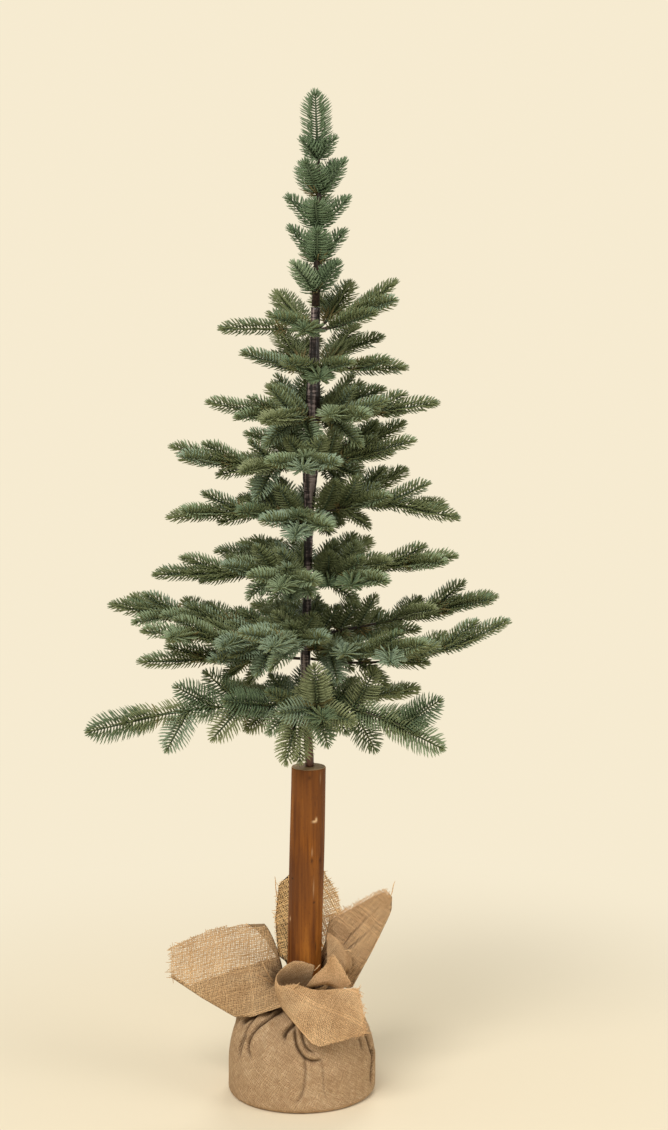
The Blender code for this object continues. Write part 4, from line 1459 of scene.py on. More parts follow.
# %% The ball's shape
NECK_RADIUS, NECK_FOOT, NECK_TOP = 0.037, 0.158, 0.172
BALL_RADIUS, BALL_WALL_TOP, BALL_FOOT_ROUND = 0.112, 0.045, 0.010
BALL_COLUMNS, BALL_ROW = 520, 0.0015
FOOT_ROWS, SHOULDER_ROWS, NECK_ROWS, SOCKET_ROWS = 7, 104, 9, 8
NECK_EDGE = 0.0012
SOCKET_RADIUS = 0.0278
CREASES = (  # depth, half width, how far the cloth beside it stands up, (bearing, height)
    (4.2, 2.3, 1.6, ((-52, 139), (-55.5, 128), (-57.7, 117.5), (-58.8, 100), (-61.1, 83.5),
        (-60, 71))),
    (2.6, 1.8, 1, ((-54, 106), (-56, 90), (-57.5, 68))),
    (4.8, 2.4, 2.2, ((-26, 146), (-34, 135), (-42.5, 124), (-47.7, 111), (-49.2, 97), (-47.2, 84),
        (-43, 77))),
    (4, 2.6, 1.8, ((-72, 138), (-77, 122), (-79, 104), (-80, 88))),
    (5.2, 2.5, 1.6, ((-3, 138), (-7.5, 130), (-12.2, 124.5), (-14.5, 118), (-14, 108))),
    (2.6, 1.5, 0, ((1, 126), (1.6, 115), (3.6, 104), (7.5, 96.5), (13, 92.5))),
    (-3, 2.2, 0, ((-2.6, 128), (-1.9, 116), (0.2, 104), (4.7, 92.5), (10.5, 87), (16.5, 87))),
    (3, 1.6, 0, ((-5.5, 127), (-4.8, 114), (-2.8, 101), (1.8, 88.5), (8, 82), (14.5, 81.5),
        (17.5, 84))),
    (1.4, 1.7, 1.2, ((3, 87), (4.1, 73), (3.6, 58), (2.6, 42), (0.4, 28), (-5, 17))),
    (0.9, 1.5, 0.6, ((16.7, 87), (17.7, 62), (18.2, 36), (20.5, 20))),
    (4.2, 2.3, 2, ((75.5, 75), (72.5, 58), (70, 38), (71.5, 18))),
    (1.6, 2.4, 1, ((57, 112), (56.9, 98), (58, 78))),
    (3, 2.2, 1.6, ((64, 118), (68, 99), (69.6, 80), (74, 60))),
    (4.4, 3.6, 0.8, ((-70, 115), (-60, 132), (-46, 144.5), (-22, 150))),
    (4, 2.4, 1.8, ((104, 140), (108, 120), (106, 92), (110, 70))),
    (4.6, 2.6, 2, ((128, 146), (136, 130), (141, 108), (138, 86))),
    (3.4, 2.2, 1.4, ((152, 140), (154, 120), (159, 98))),
    (4.8, 2.5, 2, ((178, 148), (174, 130), (176, 106), (184, 82), (186, 60))),
    (4, 2.4, 1.8, ((-152, 146), (-158, 128), (-155, 104), (-148, 88))),
    (4.4, 2.6, 1.8, ((-124, 142), (-128, 122), (-126, 94), (-131, 66))),
    (3.4, 2.2, 1.4, ((-104, 144), (-102, 124), (-106, 100))),
)


def ball_radius(height):
    """The wrapped block's radius at a height: a wall, a round shoulder and the neck."""
    rise = np.clip((height - BALL_WALL_TOP) / (NECK_FOOT - BALL_WALL_TOP), 0.0, 1.0)
    return NECK_RADIUS + (BALL_RADIUS - NECK_RADIUS) * np.sqrt(1.0 - rise**2)


def ball_stations():
    """From the middle of the flat underside to the neck, and down the log's socket."""
    stations = [(0.0, 0.0), (0.05, 0.0)]
    for turn in np.radians(np.linspace(0.0, 90.0, FOOT_ROWS)):
        stations.append((
            BALL_RADIUS - BALL_FOOT_ROUND * (1 - math.sin(turn)),
            BALL_FOOT_ROUND * (1 - math.cos(turn)),
        ))
    wall = np.arange(BALL_FOOT_ROUND + BALL_ROW, BALL_WALL_TOP, BALL_ROW)
    stations += [(BALL_RADIUS, z) for z in wall]
    for turn in np.linspace(0.0, math.pi / 2, SHOULDER_ROWS):
        stations.append((
            NECK_RADIUS + (BALL_RADIUS - NECK_RADIUS) * math.cos(turn),
            BALL_WALL_TOP + (NECK_FOOT - BALL_WALL_TOP) * math.sin(turn),
        ))
    neck = np.linspace(NECK_FOOT + 0.001, NECK_TOP - 0.001, NECK_ROWS)
    stations += [(NECK_RADIUS, z) for z in neck]
    stations += [(NECK_RADIUS - NECK_EDGE, NECK_TOP), (SOCKET_RADIUS + 0.001, NECK_TOP)]
    socket = np.linspace(NECK_TOP - 0.001, LOG_FOOT.z, SOCKET_ROWS)
    stations += [(SOCKET_RADIUS, z) for z in socket]
    return stations + [(0.0, LOG_FOOT.z)]


# %% Creases
CREASE_SPREAD = 1.40
CREASE_REACH = 0.09  # from a crease's middle, for speed
CREASE_STEPS = 14  # for each of its knots
SMOOTHED = 6  # steps to either side over which its line is rounded
CREASE_DEPTH = 1.3  # the push in, as a share of the depth in the table
LIP_HEIGHT, LIP_PLACE, LIP_WIDTH = 1.5, 2.4, 1.8  # the cloth that stands up beside it
PAINTED_SHADE_WIDTH, FULL_SHADE_DEPTH = 0.90, 0.0030  # the width of the painted shade in a crease, and the depth that gives all of it


def ball_normal(points):
    """The direction out of the cloth, from the shoulder's own ellipse."""
    reach = np.hypot(points[:, 0], points[:, 1])
    across = (reach - NECK_RADIUS) / (BALL_RADIUS - NECK_RADIUS) ** 2
    up = np.maximum(points[:, 2] - BALL_WALL_TOP, 0.0) / (NECK_FOOT - BALL_WALL_TOP) ** 2
    out = np.stack([points[:, 0] / reach * across, points[:, 1] / reach * across, up], axis=1)
    return out / np.linalg.norm(out, axis=1, keepdims=True)


def crease_path(route):
    """The points of a crease on the ball, and the directions along it and to its side."""
    knots = np.array(route) / (1.0, 1000.0)
    steps = np.linspace(0, len(knots) - 1, CREASE_STEPS * len(knots))
    window = np.ones(2 * SMOOTHED + 1) / (2 * SMOOTHED + 1)
    line = [np.interp(steps, range(len(knots)), knots[:, axis]) for axis in (0, 1)]
    bearing, height = [
        np.convolve(np.pad(values, SMOOTHED, mode="edge"), window, "valid") for values in line
    ]
    path = rolled_point(bearing, ball_radius(height), height)
    ahead = np.gradient(path, axis=0)
    ahead /= np.linalg.norm(ahead, axis=1, keepdims=True)
    side = np.cross(ball_normal(path), ahead)
    return path, ahead, side / np.linalg.norm(side, axis=1, keepdims=True)


def hill(distance, wide):
    return np.exp(-((distance / wide) ** 2))


def crease_push(points):
    """How far the creases push each point out, and how much painted shade it takes in them."""
    push, painted_shade = np.zeros(len(points)), np.zeros(len(points))
    for depth, wide, beside, route in CREASES:
        depth, wide, beside = metres((depth, wide * CREASE_SPREAD, beside))
        path, ahead, side = crease_path(route)
        near = np.flatnonzero(np.abs(points - path.mean(axis=0)).max(axis=1) < CREASE_REACH)
        nearest = np.linalg.norm(points[near, None] - path[None], axis=2).argmin(axis=1)
        away = points[near] - path[nearest]
        across = (away * side[nearest]).sum(axis=1)
        past = (away * ahead[nearest]).sum(axis=1)
        share = nearest / (len(path) - 1)
        ends = np.minimum(1.0, 0.5 + share / 0.15) * np.minimum(1.0, (1.0 - share) / 0.25 + 0.10)
        strength = ends * hill(past, wide)
        push[near] += strength * (-CREASE_DEPTH * depth * hill(across, wide))
        lip = hill(across - LIP_PLACE * wide, LIP_WIDTH * wide)
        push[near] += strength * beside * LIP_HEIGHT * lip
        # painted shade along the middle of a crease, fuller where the crease is deep
        shade = hill(across, PAINTED_SHADE_WIDTH * wide) * min(1.0, max(depth, 0.0) / FULL_SHADE_DEPTH)
        painted_shade[near] += strength * shade
    return push, painted_shade


# %% Skin of the ball
BALL_SEEDS, BALL_REACHES = (61, 62), (5, 14)  # slow waves, and smaller uneven ones
WAVE_PUSHES, GATHER_PUSH = (0.0014, 0.0005), 0.0030
GATHER_FOOT = 0.112  # height from which the cloth is gathered under the tie
GATHERS = 21
TIE_SHADE = 0.134  # height from which hardly any light reaches the cloth under the tie


def ball_push(points, bearing):
    """The creases, the gathers under the tie and the cloth's slow waves, and the painted shade in
    the creases, in the troughs of the gathers and under the tie.
    """
    height = points[:, 2]
    push, painted_shade = crease_push(points)
    waves, uneven = map(smooth_noise, BALL_SEEDS, BALL_REACHES)
    gather = np.clip((height - GATHER_FOOT) / (NECK_FOOT - GATHER_FOOT), 0.0, 1.0) ** 1.6
    pucker = np.sin(np.radians(GATHERS * bearing) + 1.6 * waves(bearing, height * 0.3))
    push = push + WAVE_PUSHES[0] * waves(bearing, height)
    push = push + WAVE_PUSHES[1] * uneven(bearing, height)
    push = push + GATHER_PUSH * gather * pucker * (height < NECK_TOP - 0.002)
    # Painted shade in the troughs of the gathers, and on the ball's top under the tie and the
    # flaps.
    painted_shade = painted_shade + 0.55 * gather * np.clip(-pucker - 0.2, 0.0, 1.0)
    return push, painted_shade + 0.60 * np.clip((height - TIE_SHADE) / 0.020, 0.0, 1.0)


def ball_skin(bearing, radius, height):
    """The rolled skin of the ball. The log's socket leans with the log."""
    points = rolled_point(bearing, radius, height)
    inside = radius < NECK_RADIUS - NECK_EDGE - 0.0001
    under = height < 0.0002
    cloth = ~(inside | under)
    push, _ = ball_push(points[cloth], bearing[cloth])
    push = push * np.clip(height[cloth] / 0.012, 0.0, 1.0)
    points[cloth] += ball_normal(points[cloth]) * push[:, None]
    points[:, 0] += np.where(inside & ~under, log_middle(height), 0.0)
    return points


def make_ball():
    wrap = burlap_material("burlap_wrap", 33, 1.03, (1.00, 1.04, 1.15))
    mesh = rolled_skin("burlap_ball", ball_stations(), BALL_COLUMNS, ball_skin, wrap)
    points = np.array([vert.co for vert in mesh.vertices])
    # The painted shade is kept at the points, with none inside the log's socket.
    _, painted_shade = ball_push(points + 1e-9, np.degrees(np.arctan2(points[:, 0], -points[:, 1])))
    painted_shade[np.hypot(points[:, 0], points[:, 1]) < NECK_RADIUS * 0.9] = 0.0
    keep_at_points(mesh, "painted_shade", painted_shade)
    add_piece("burlap_ball", mesh, "burlap", "root_ball")


make_ball()

# %% [markdown]
# ## The loose cloth above the tie
#
# Above the tie the corners of the burlap stand out as four flaps. Burlap is open enough to
# see through where it is single, so the flaps are really woven here. First comes a smooth
# surface from the tie to the hem. Two families of threads cross on it and pass over and
# under each other by turns. Where the cloth is doubled, a lining fills the gaps. A cut edge
# frays: the threads that run out over it stand out as a fringe.

# %% Surfaces of the flaps
# along and across are the directions of threads laid from one side, or None and the angle to
# the surface's own lines. frays are the middle and reach of each frayed edge and the length
# of its fringe, and lined(u, v, x, z) says where the cloth is doubled.
Sheet = namedtuple("Sheet", "name points along across frays lined")
FLAP_ROOT_RADIUS = 0.0342
FLAP_ROOT_HEIGHT = NECK_TOP + 0.0008
FLAP_ROWS, FLAP_COLUMNS = 60, 72
ROOT_SMOOTHING = 40  # rounds of it at the root, and none at the hem
FAN_PLEATS = 4.5
PLEAT_DEPTH, WAVE_DEPTH = 0.0030, 0.0028
TURN = 6.3  # a random phase is below this


def fan(arc, hem, lifts, falls, seed):
    """A surface that spreads from an arc of the neck to a line of hem points. The lifts and
    falls say how far its lines rise out of the neck and drop to the hem, at each side."""
    u = np.linspace(0.0, 1.0, FLAP_COLUMNS + 1)
    v = np.linspace(0.0, 1.0, FLAP_ROWS + 1)[:, None, None]
    angle = np.radians(arc[0] + (arc[1] - arc[0]) * u)
    root = np.stack([np.cos(angle), np.sin(angle), 0 * u], axis=1) * FLAP_ROOT_RADIUS
    root[:, 2] = FLAP_ROOT_HEIGHT
    knots = np.array(hem) / 1000
    places = u * (len(knots) - 1)
    edge = np.stack([np.interp(places, range(len(knots)), knots[:, k]) for k in range(3)], axis=1)
    lifted, fallen = root.copy(), edge.copy()
    lifted[:, 2] += np.interp(u, (0, 1), metres(lifts))
    fallen[:, 2] += np.interp(u, (0, 1), metres(falls))
    points = root * (1 - v) ** 3 + lifted * 3 * v * (1 - v) ** 2
    points = points + fallen * 3 * v**2 * (1 - v) + edge * v**3
    for row in range(FLAP_ROWS):
        for _ in range(round(ROOT_SMOOTHING * (1.0 - row / FLAP_ROWS))):
            points[row, 1:-1] = (points[row, :-2] + points[row, 1:-1] * 2 + points[row, 2:]) / 4
    return rumpled(points, seed, FAN_PLEATS)


def patch(controls, seed, pleats=0.0):
    """A smooth surface through a grid of control points, given row by row."""
    grid = np.array(controls) / 1000
    for axis, count in ((0, FLAP_ROWS), (1, FLAP_COLUMNS)):
        grid = np.moveaxis(grid, axis, 0)
        last = len(grid) - 1
        places = np.linspace(0, last, count + 1)
        first = np.minimum(places.astype(int), last - 1)
        t = (places - first).reshape(-1, 1, 1)
        before, after = grid[np.maximum(first - 1, 0)], grid[np.minimum(first + 2, last)]
        low, high = grid[first], grid[first + 1]
        grid = low + 0.5 * t * (high - before + t * (
            2 * before - 5 * low + 4 * high - after + t * (3 * (low - high) + after - before)))
        grid = np.moveaxis(grid, 0, axis)
    return rumpled(grid, seed, pleats)


def normals_of(points):
    """The unit normals of a grid of points."""
    out = np.cross(np.gradient(points, axis=1), np.gradient(points, axis=0))
    return out / np.maximum(np.linalg.norm(out, axis=2, keepdims=True), 1e-12)


def rumpled(points, seed, pleats):
    """Pleats that die away from the tie, and slow waves."""
    rng = random.Random(seed)
    v, u = np.mgrid[0:1:(FLAP_ROWS + 1) * 1j, 0:1:(FLAP_COLUMNS + 1) * 1j]
    wave = sum(
        np.sin(rng.uniform(2, 9) * u + rng.uniform(2, 8) * v + rng.uniform(0, TURN))
        for _ in range(5)
    ) / 5
    pleat = np.sin(2 * math.pi * pleats * u + rng.uniform(0, TURN)) * (v + 0.12) * (1 - v) ** 2 * 4
    push = WAVE_DEPTH * wave * np.minimum(1.0, v * 4) + (PLEAT_DEPTH if pleats else 0.0) * pleat
    return points + normals_of(points) * push[..., None]


# %% Weave threads over a surface
THREAD_RADIUS = 0.00070
THREAD_OFFSET = 0.00042
THICK_CHANCE, THICK, THIN = 0.10, 1.28, (0.78, 1.00)
UNEVEN = (0.92, 1.10)  # how thick a thread is along its length
TONES = (0, 0, 1, 1, 1, 2)
FRAY_LENGTHS, STRAY = (0.45, 1.25), 0.3
LAYER_JUMP = 3.0 * WEAVE_PITCH
THREAD_STEPS = (0.80, 1.22)  # from one thread to the next, as a share of the pitch
FRAYED = (0.45, 0.75)  # how thin the last two points of a frayed end are


def thread_materials(kind, shades, tint=NEUTRAL):
    return [burlap_material(f"jute_{kind}_{name}", None, shade, tint)
            for name, shade in zip(("pale", "tan", "brown"), shades)]


THREADS = thread_materials("thread", (1.30, 1.18, 1.02))
# Painted light: the back flap's threads are paler, for light that shines through the cloth from
# behind.
PAINTED_BACKLIGHT_THREADS = thread_materials("bright", (1.70, 1.50, 1.22), (0.98, 1.02, 0.90))
MUTED_THREADS = thread_materials("muted", (1.22, 1.08, 0.86), (0.98, 1.00, 1.00))


def thread_places(low, high, rng):
    """Irregular places of the threads of one family."""
    places = []
    while low < high:
        places.append(low)
        low += WEAVE_PITCH * rng.uniform(*THREAD_STEPS)
    return places


SWAY, RIPPLE = 0.0011, 0.0004  # how far threads wander, slowly and from thread to thread
SWAY_SPEEDS, RIPPLE_SPEEDS = (70, 60), (900, 210)
CAST_FROM = 0.05  # how far off the surface the rays start


def cast_lattice(points, along, across, rng):
    """Straight threads laid over the surface from one side. Every crossing on it is a
    (place, normal), and every crossing beside it is None."""
    corners = [Vector(point) for point in points.reshape(-1, 3)]
    wide = FLAP_COLUMNS + 1
    faces = [(k, k + 1, k + wide + 1, k + wide) for row in range(FLAP_ROWS)
             for k in range(row * wide, row * wide + FLAP_COLUMNS)]
    tree = BVHTree.FromPolygons(corners, faces)
    e1, e2 = Vector(along).normalized(), Vector(across).normalized()
    aim = e1.cross(e2).normalized()
    skew = e1.dot(e2)
    first, second = [
        [(c.dot(one) - skew * c.dot(other)) / (1 - skew**2) for c in corners]
        for one, other in ((e1, e2), (e2, e1))
    ]
    rows = thread_places(min(first), max(first), rng)
    columns = thread_places(min(second), max(second), rng)
    depth = max(c.dot(aim) for c in corners) + CAST_FROM
    phases = [rng.uniform(0, TURN) for _ in range(4)]

    def swayed(place, other, family):
        slow = SWAY * math.sin(other * SWAY_SPEEDS[family] + phases[2 * family])
        ripple = place * RIPPLE_SPEEDS[0] + other * RIPPLE_SPEEDS[1] + phases[2 * family + 1]
        return place + (slow + RIPPLE * math.sin(ripple))

    lattice = []
    for a in rows:
        line = []
        for b in columns:
            spot = e1 * swayed(a, b, 0) + e2 * swayed(b, a, 1)
            hit, normal, _, _ = tree.ray_cast(spot + aim * (depth - spot.dot(aim)), -aim)
            line.append(hit and (hit, normal if normal.dot(aim) > 0 else -normal))
        lattice.append(line)
    return lattice


def grid_lattice(points, turn, rng):
    """Threads laid at an angle to the surface's own lines."""
    normals = normals_of(points)
    tall = np.linalg.norm(np.diff(points, axis=0), axis=2).sum(axis=0).max()
    wide = np.linalg.norm(np.diff(points, axis=1), axis=2).sum(axis=1).max()
    c, s = math.cos(math.radians(turn)), math.sin(math.radians(turn))
    rows = thread_places(0.0, tall * c + wide * s, rng)
    columns = thread_places(-tall * s, wide * c, rng)
    lattice = []
    for p in rows:
        line = []
        for q in columns:
            a, b = p * c - q * s, p * s + q * c
            if not (0.0 <= a <= tall and 0.0 <= b <= wide):
                line.append(None)
                continue
            i = min(FLAP_ROWS, FLAP_ROWS * (a / tall))
            j = min(FLAP_COLUMNS, FLAP_COLUMNS * (b / wide))
            i0, j0 = min(int(i), FLAP_ROWS - 1), min(int(j), FLAP_COLUMNS - 1)
            down, t = i - i0, j - j0
            found = [
                (data[i0, j0] * (1 - t) + data[i0, j0 + 1] * t) * (1 - down)
                + (data[i0 + 1, j0] * (1 - t) + data[i0 + 1, j0 + 1] * t) * down
                for data in (points, normals)
            ]
            line.append((Vector(found[0]), Vector(found[1]).normalized()))
        lattice.append(line)
    return lattice


def fringe(end, before, frays, rng):
    """The points of a thread that stand out past the cloth's edge."""
    for *centre, reach, length in frays:
        if (end - Vector(centre)).length < reach:
            out = (end - before).normalized() * length * rng.uniform(*FRAY_LENGTHS)
            stray = Vector([rng.uniform(-STRAY, STRAY) * out.length for _ in range(3)])
            return [end + out * 0.5 + stray * 0.3, end + out + stray]
    return []


def add_thread(curve, crossings, number, start, frays, striped, rng):
    """One thread over and under the others, with a fringe at its ends."""
    points = [
        place + normal * (THREAD_OFFSET if (number + start + k) % 2 else -THREAD_OFFSET)
        for k, (place, normal) in enumerate(crossings)
    ]
    thick = THICK if rng.random() < THICK_CHANCE and not striped else rng.uniform(*THIN)
    tail = fringe(points[-1], points[-2], frays, rng)
    head = fringe(points[0], points[1], frays, rng)[::-1]
    points = head + points + tail
    shares = [thick * rng.uniform(*UNEVEN) for _ in points]
    for k, share in enumerate(FRAYED):
        if head:
            shares[k] = thick * share
        if tail:
            shares[-1 - k] = thick * share
    add_rod(curve, points, shares)
    tone = rng.choice(TONES)
    curve.splines[-1].material_index = (0, 2)[number % 2] if striped else tone


def runs_of(line):
    """The unbroken runs of a line, with where each starts. A jump to another layer of the
    cloth breaks a run."""
    run = []
    for k, item in enumerate([*line, None]):
        if run and not (item and (item[0] - run[-1][0]).length < LAYER_JUMP):
            if len(run) > 2:
                yield k - len(run), run
            run = []
        if item:
            run.append(item)


def weave(sheet, materials, rng):
    """All threads of one sheet in one mesh."""
    curve = new_curve(f"{sheet.name}_threads", THREAD_RADIUS, 0)
    lay = cast_lattice if sheet.along else grid_lattice
    directions = [direction for direction in (sheet.along, sheet.across) if direction]
    lattice = lay(sheet.points, *directions, rng)
    frays = metres(sheet.frays)
    for family, lines in enumerate((lattice, zip(*lattice))):
        striped = family == 0 and not sheet.along
        for number, line in enumerate(lines):
            for start, run in runs_of(line):
                add_thread(curve, run, number + family, start, frays, striped, rng)
    return mesh_of_curve(curve, *materials)


# %% The lining
LINING_THICK = 0.0003


def lining(sheet, material):
    """The part of the surface where the cloth is doubled, as a thin closed sheet."""
    bm = bmesh.new()
    bmesh.ops.create_grid(bm, x_segments=FLAP_COLUMNS, y_segments=FLAP_ROWS, size=0.5)
    u = np.array([vert.co.x + 0.5 for vert in bm.verts])
    v = np.array([vert.co.y + 0.5 for vert in bm.verts])
    rows, columns = np.rint(v * FLAP_ROWS).astype(int), np.rint(u * FLAP_COLUMNS).astype(int)
    for vert, point in zip(bm.verts, sheet.points[rows, columns]):
        vert.co = point
    bm.verts.index_update()
    single = []
    for face in bm.faces:
        middle = face.calc_center_median()
        number = [vert.index for vert in face.verts]
        if not sheet.lined(u[number].mean(), v[number].mean(), middle.x, middle.z):
            single.append(face)
    bmesh.ops.delete(bm, geom=single, context="FACES")
    bmesh.ops.solidify(bm, geom=bm.faces[:], thickness=LINING_THICK)
    bmesh.ops.recalc_face_normals(bm, faces=bm.faces)
    mesh = mesh_from(bm, f"{sheet.name}_lining", material)
    mesh.shade_smooth()
    return mesh


# %% The four flaps
# The tables are in millimetres, like those of the creases.
RIGHT_HEM, RIGHT_INNER = 0.95, 0.45
BACK_FROM = -0.012


def everywhere(u, v, x, z):
    return True


FOLD_LINE = (-0.205, -0.170, -0.100, -0.055, -0.030), (0.186, 0.168, 0.190, 0.199, 0.203)
ROLLED_EDGE = 0.035


def left_lined(u, v, x, z):
    """The lower half is folded double, and so is the rolled edge beside the log."""
    return z < np.interp(x, *FOLD_LINE) or u < ROLLED_EDGE


def right_lined(u, v, x, z):
    """Only the outer half of the hem is single."""
    return v < RIGHT_HEM or u < RIGHT_INNER


def left_of_log(u, v, x, z):
    return x < BACK_FROM


LEFT = Sheet(
    "burlap_left",
    fan((142, 244), ((-58, 30, 246), (-130, 22, 246), (-200, 12, 218),
                     (-197, -6, 177), (-150, -24, 151), (-100, -36, 125),
                     (-72, -60, 134), (-52, -74, 146), (-28, -80, 156)),
        (30, 6), (20, 16), 71),
    (0.140, 0.017, 0.029), (0.004, -0.018, -0.040),
    ((-199, 3, 198, 24, 8), (-165, 17, 234, 32, 2.6), (-98, 26, 247, 34, 2.2)),
    left_lined)
BACK = Sheet(
    "burlap_back",
    fan((62, 132), ((66, 52, 240), (56, 60, 287), (34, 64, 326), (24, 64, 331),
                    (-12, 62, 326), (-34, 54, 306), (-40, 48, 256), (-38, 44, 226)),
        (40, 40), (-50, -50), 72),
    (0.91, 0.0, 0.42), (-0.42, 0.10, 0.91),
    ((62, 56, 262, 40, 5), (40, 60, 310, 30, 4), (8, 63, 322, 26, 4),
     (-38, 52, 280, 34, 5.8), (-40, 46, 240, 26, 5)),
    left_of_log)
RIGHT = Sheet(
    "burlap_right",
    fan((-42, 50), ((78, -26, 176), (108, -18, 230), (137, -6, 286), (138, -2, 302),
                    (128, 6, 313), (112, 12, 305), (70, 22, 278), (42, 26, 262), (37, 22, 238)),
        (30, 30), (-30, -30), 73),
    (0.54, 0.0, 0.84), (-0.84, 0.10, 0.54),
    ((127, 2, 318, 16, 4), (100, 14, 305, 24, 5.2), (70, 25, 272, 30, 5)),
    right_lined)
FRONT_PANEL = Sheet(
    "burlap_front_panel",
    patch((
        ((21, -33, 205), (-10, -40, 214), (-35, -56, 199), (-31, -78, 189),
         (-7, -88, 193), (23, -95, 187), (55, -99, 190), (85, -95, 189)),
        ((17, -34, 188), (-11, -38, 190), (-38, -60, 182), (-27, -88, 171),
         (-1, -98, 170), (29, -105, 169), (60, -107, 171), (89, -101, 169)),
        ((14, -37, 178), (-8, -44, 176), (-32, -66, 162), (-17, -96, 152),
         (10, -110, 148), (38, -116, 148), (66, -115, 151), (93, -108, 150)),
        ((5, -36, 174), (-6, -49, 171), (-20, -76, 152), (-3, -106, 134),
         (23, -121, 111), (48, -124, 116), (72, -121, 121), (97, -113, 127)),
    ), 74),
    None, 55.0,
    ((90, -100, 182, 20, 8.5), (95, -110, 150, 26, 9), (97, -113, 130, 16, 7),
     (40, -97, 188, 40, 2.2), (0, -88, 192, 22, 3), (60, -122, 118, 50, 1.6)),
    everywhere)
FRONT_PEAK = Sheet(
    "burlap_front_peak",
    patch((
        ((3, -35, 174), (14, -35, 174), (24, -31, 174), (31, -24, 174)),
        ((8, -50, 180), (23, -56, 184), (44, -60, 185), (60, -58, 178)),
        ((18, -58, 194), (32, -62, 204), (51, -67, 206), (68, -70, 187)),
        ((29, -60, 207), (40, -65, 219), (52, -70, 231), (74, -78, 191)),
    ), 75),
    None, 55.0,
    ((63, -74, 212, 26, 5), (34, -62, 212, 16, 1.6)),
    everywhere)
RIGHT_FOLD = Sheet(
    "burlap_right_fold",
    patch((
        ((29, -22, 174), (34, -15, 174), (37, -6, 174), (37, 4, 174)),
        ((37, -26, 206), (50, -40, 210), (64, -44, 203), (71, -36, 195)),
        ((40, -6, 248), (54, -22, 243), (64, -36, 234), (76, -42, 221)),
    ), 76, 2.5),
    None, 30.0,
    ((68, -44, 230, 24, 4), (46, -20, 246, 16, 2)),
    everywhere)


def down_from(value, high, span):
    """0 above high, 1 at span below it and further down."""
    return np.clip((high - value) / span, 0.0, 1.0)


def shade_near_tie(mesh, least=0.0, rolled=False):
    """Keeps painted shade at each point: among the folds at the neck, and inside the rolled cloth.
    """
    points = np.empty(len(mesh.vertices) * 3)
    mesh.vertices.foreach_get("co", points)
    x, y, z = points.reshape(-1, 3).T
    close = down_from(z, 0.202, 0.024) * down_from(np.hypot(x, y), 0.062, 0.020)
    # least is painted shade for a whole sheet that lies in shadow, up to a little below its top.
    painted_shade = np.maximum(least * down_from(z, 0.252, 0.020), 0.85 * close)
    if rolled:
        # Painted shade inside the rolled cloth, and a lighter one on its outer left side.
        inside = np.clip((y + 0.062) / 0.012, 0.0, 1.0) * down_from(z, 0.212, 0.026)
        outer = down_from(x, 0.004, 0.024) * down_from(z, 0.190, 0.020)
        painted_shade = np.maximum(painted_shade, np.maximum(0.85 * inside, 0.30 * outer))
    keep_at_points(mesh, "painted_shade", painted_shade)


# %% Weave the flaps
LOOSE_THREADS = (
    ((133, 0, 300), (140, -1, 309), (137, -2, 318), (142, -2, 327)),
    ((-37, 54, 284), (-41, 53, 298), (-39, 53, 310), (-41, 52, 319)),
    ((-12, -90, 187), (-6, -94, 193), (-1, -93, 198)),
    ((20, -36, 198), (25, -40, 203), (29, -39, 209)),
    ((66, -46, 232), (72, -50, 236), (75, -49, 231)),
    ((-178, 6, 222), (-184, 2, 229), (-192, 1, 230)),
)
LOOSE_ENDS = [1.1] * 9 + [0.9, 0.7, 0.5]  # how a loose thread thins out
WEAVE_SEED = 80


def make_loose_threads():
    curve = new_curve("loose_threads", THREAD_RADIUS, 1)
    for route in metres(LOOSE_THREADS):
        ends = [Vector(point) for point in route]
        places = np.linspace(0, 1, len(LOOSE_ENDS))
        add_rod(curve, [curve_point(ends, t) for t in places], LOOSE_ENDS)
    add_piece("loose_threads", mesh_of_curve(curve, THREADS[0]), "burlap",
              "burlap_right", "burlap_back", "burlap_front", "burlap_left")


def make_flaps():
    """The woven threads and the lining of each sheet take the place of its flap."""
    backing = burlap_material("burlap_lining", None, 0.52)
    # The back flap's lining, left of the log, is painted dark for the shade behind the log.
    shaded_backing = burlap_material("burlap_lining_painted_shade", None, 0.18)
    rng = random.Random(WEAVE_SEED)
    for sheet, node, materials, lining_material in (
        (LEFT, "burlap_left", MUTED_THREADS, backing),
        (BACK, "burlap_back", PAINTED_BACKLIGHT_THREADS, shaded_backing),
        (RIGHT, "burlap_right", THREADS, backing),
        (FRONT_PANEL, "burlap_front", THREADS, backing),
        (FRONT_PEAK, "burlap_front", THREADS, backing),
        (RIGHT_FOLD, "burlap_right", THREADS, backing),
    ):
        pieces = {"threads": weave(sheet, materials, rng), "lining": lining(sheet, lining_material)}
        for kind, mesh in pieces.items():
            # The sheet folded beside the peak takes painted shade, as it lies behind the peak; the
            # rolled front panel takes it inside.
            shade_near_tie(mesh, 0.30 if sheet is RIGHT_FOLD else 0.0, sheet is FRONT_PANEL)
            add_piece(f"{sheet.name}_{kind}", mesh, "burlap", node)
        print(sheet.name, len(pieces["threads"].polygons), "faces of thread")


make_flaps()
make_loose_threads()

# %% [markdown]
# ## The twine
#
# A jute twine of two twisted plies ties the neck, and its two ends stick out at the left
# under the flap. Each ply is a rod that winds round the twine's own path.

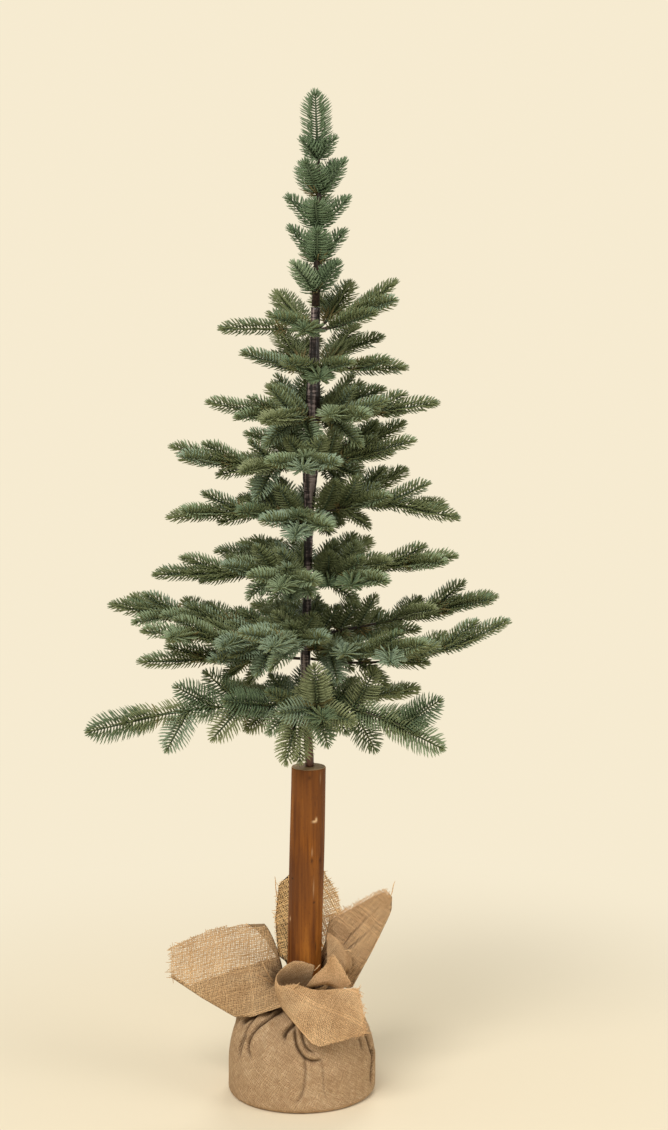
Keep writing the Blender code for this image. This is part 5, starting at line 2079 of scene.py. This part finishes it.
# %% The twine
TWINE_RADIUS, TAIL_RADIUS = 0.0018, 0.0013
TWINE_LAY = 0.0075  # length of one twist
TWINE_STEP = 0.0011
TWINE_HEIGHT = 0.1650
TWINE_LEVELS = (-0.0019, 0.0019)  # it goes round twice
PLY_SHARE = 0.55  # thickness of a ply, as a share of the twine's
ROUND_STEPS, TAIL_STEPS, LEAST_STEPS = 73, 12, 8
TWINE_TAILS = (
    ((-38, -18, 168), (-46, -34, 186), (-50, -36, 192), (-58, -36, 211)),
    ((-38, -18, 168), (-46, -36, 180), (-56, -38, 188), (-68, -36, 192)),
)


def add_twine(curve, path, radius):
    """Two plies round a path of points."""
    total = sum((b - a).length for a, b in zip(path, path[1:]))
    count = max(LEAST_STEPS, round(total / TWINE_STEP))
    ends = np.array([tuple(point) for point in path])
    along = np.concatenate([[0.0], np.cumsum(np.linalg.norm(np.diff(ends, axis=0), axis=1))])
    places = np.linspace(0, along[-1], count)
    middle = np.stack([np.interp(places, along, ends[:, k]) for k in range(3)], axis=1)
    ahead = np.gradient(middle, axis=0)
    for ply in (0.0, math.pi):
        points = []
        for k in range(count):
            direction = Vector(ahead[k]).normalized()
            across = square_to(direction, UP if abs(direction.z) < 0.9 else FRONT)
            other = direction.cross(across)
            turn = ply + 2 * math.pi * (total / TWINE_LAY) * k / count
            away = across * math.cos(turn) + other * math.sin(turn)
            points.append(Vector(middle[k]) + away * radius * 0.5)
        add_rod(curve, points, [radius / TWINE_RADIUS] * count)


def make_twine():
    curve = new_curve("jute_twine", TWINE_RADIUS * PLY_SHARE, 1)
    ring = NECK_RADIUS + GAP + TWINE_RADIUS
    for level in TWINE_LEVELS:
        add_twine(curve, [
            Vector((ring * math.cos(a), ring * math.sin(a), TWINE_HEIGHT + level))
            for a in np.linspace(0.0, 2.0 * math.pi, ROUND_STEPS)
        ], TWINE_RADIUS)
    for tail in metres(TWINE_TAILS):
        ends = [Vector(point) for point in tail]
        places = np.linspace(0, 1, TAIL_STEPS)
        add_twine(curve, [curve_point(ends, t) for t in places], TAIL_RADIUS)
    mesh = mesh_of_curve(curve, burlap_material("twine_jute", None, 1.05))
    add_piece("jute_twine", mesh, "twine", "twine_tie")
    print("twine:", len(mesh.polygons), "faces")


make_twine()
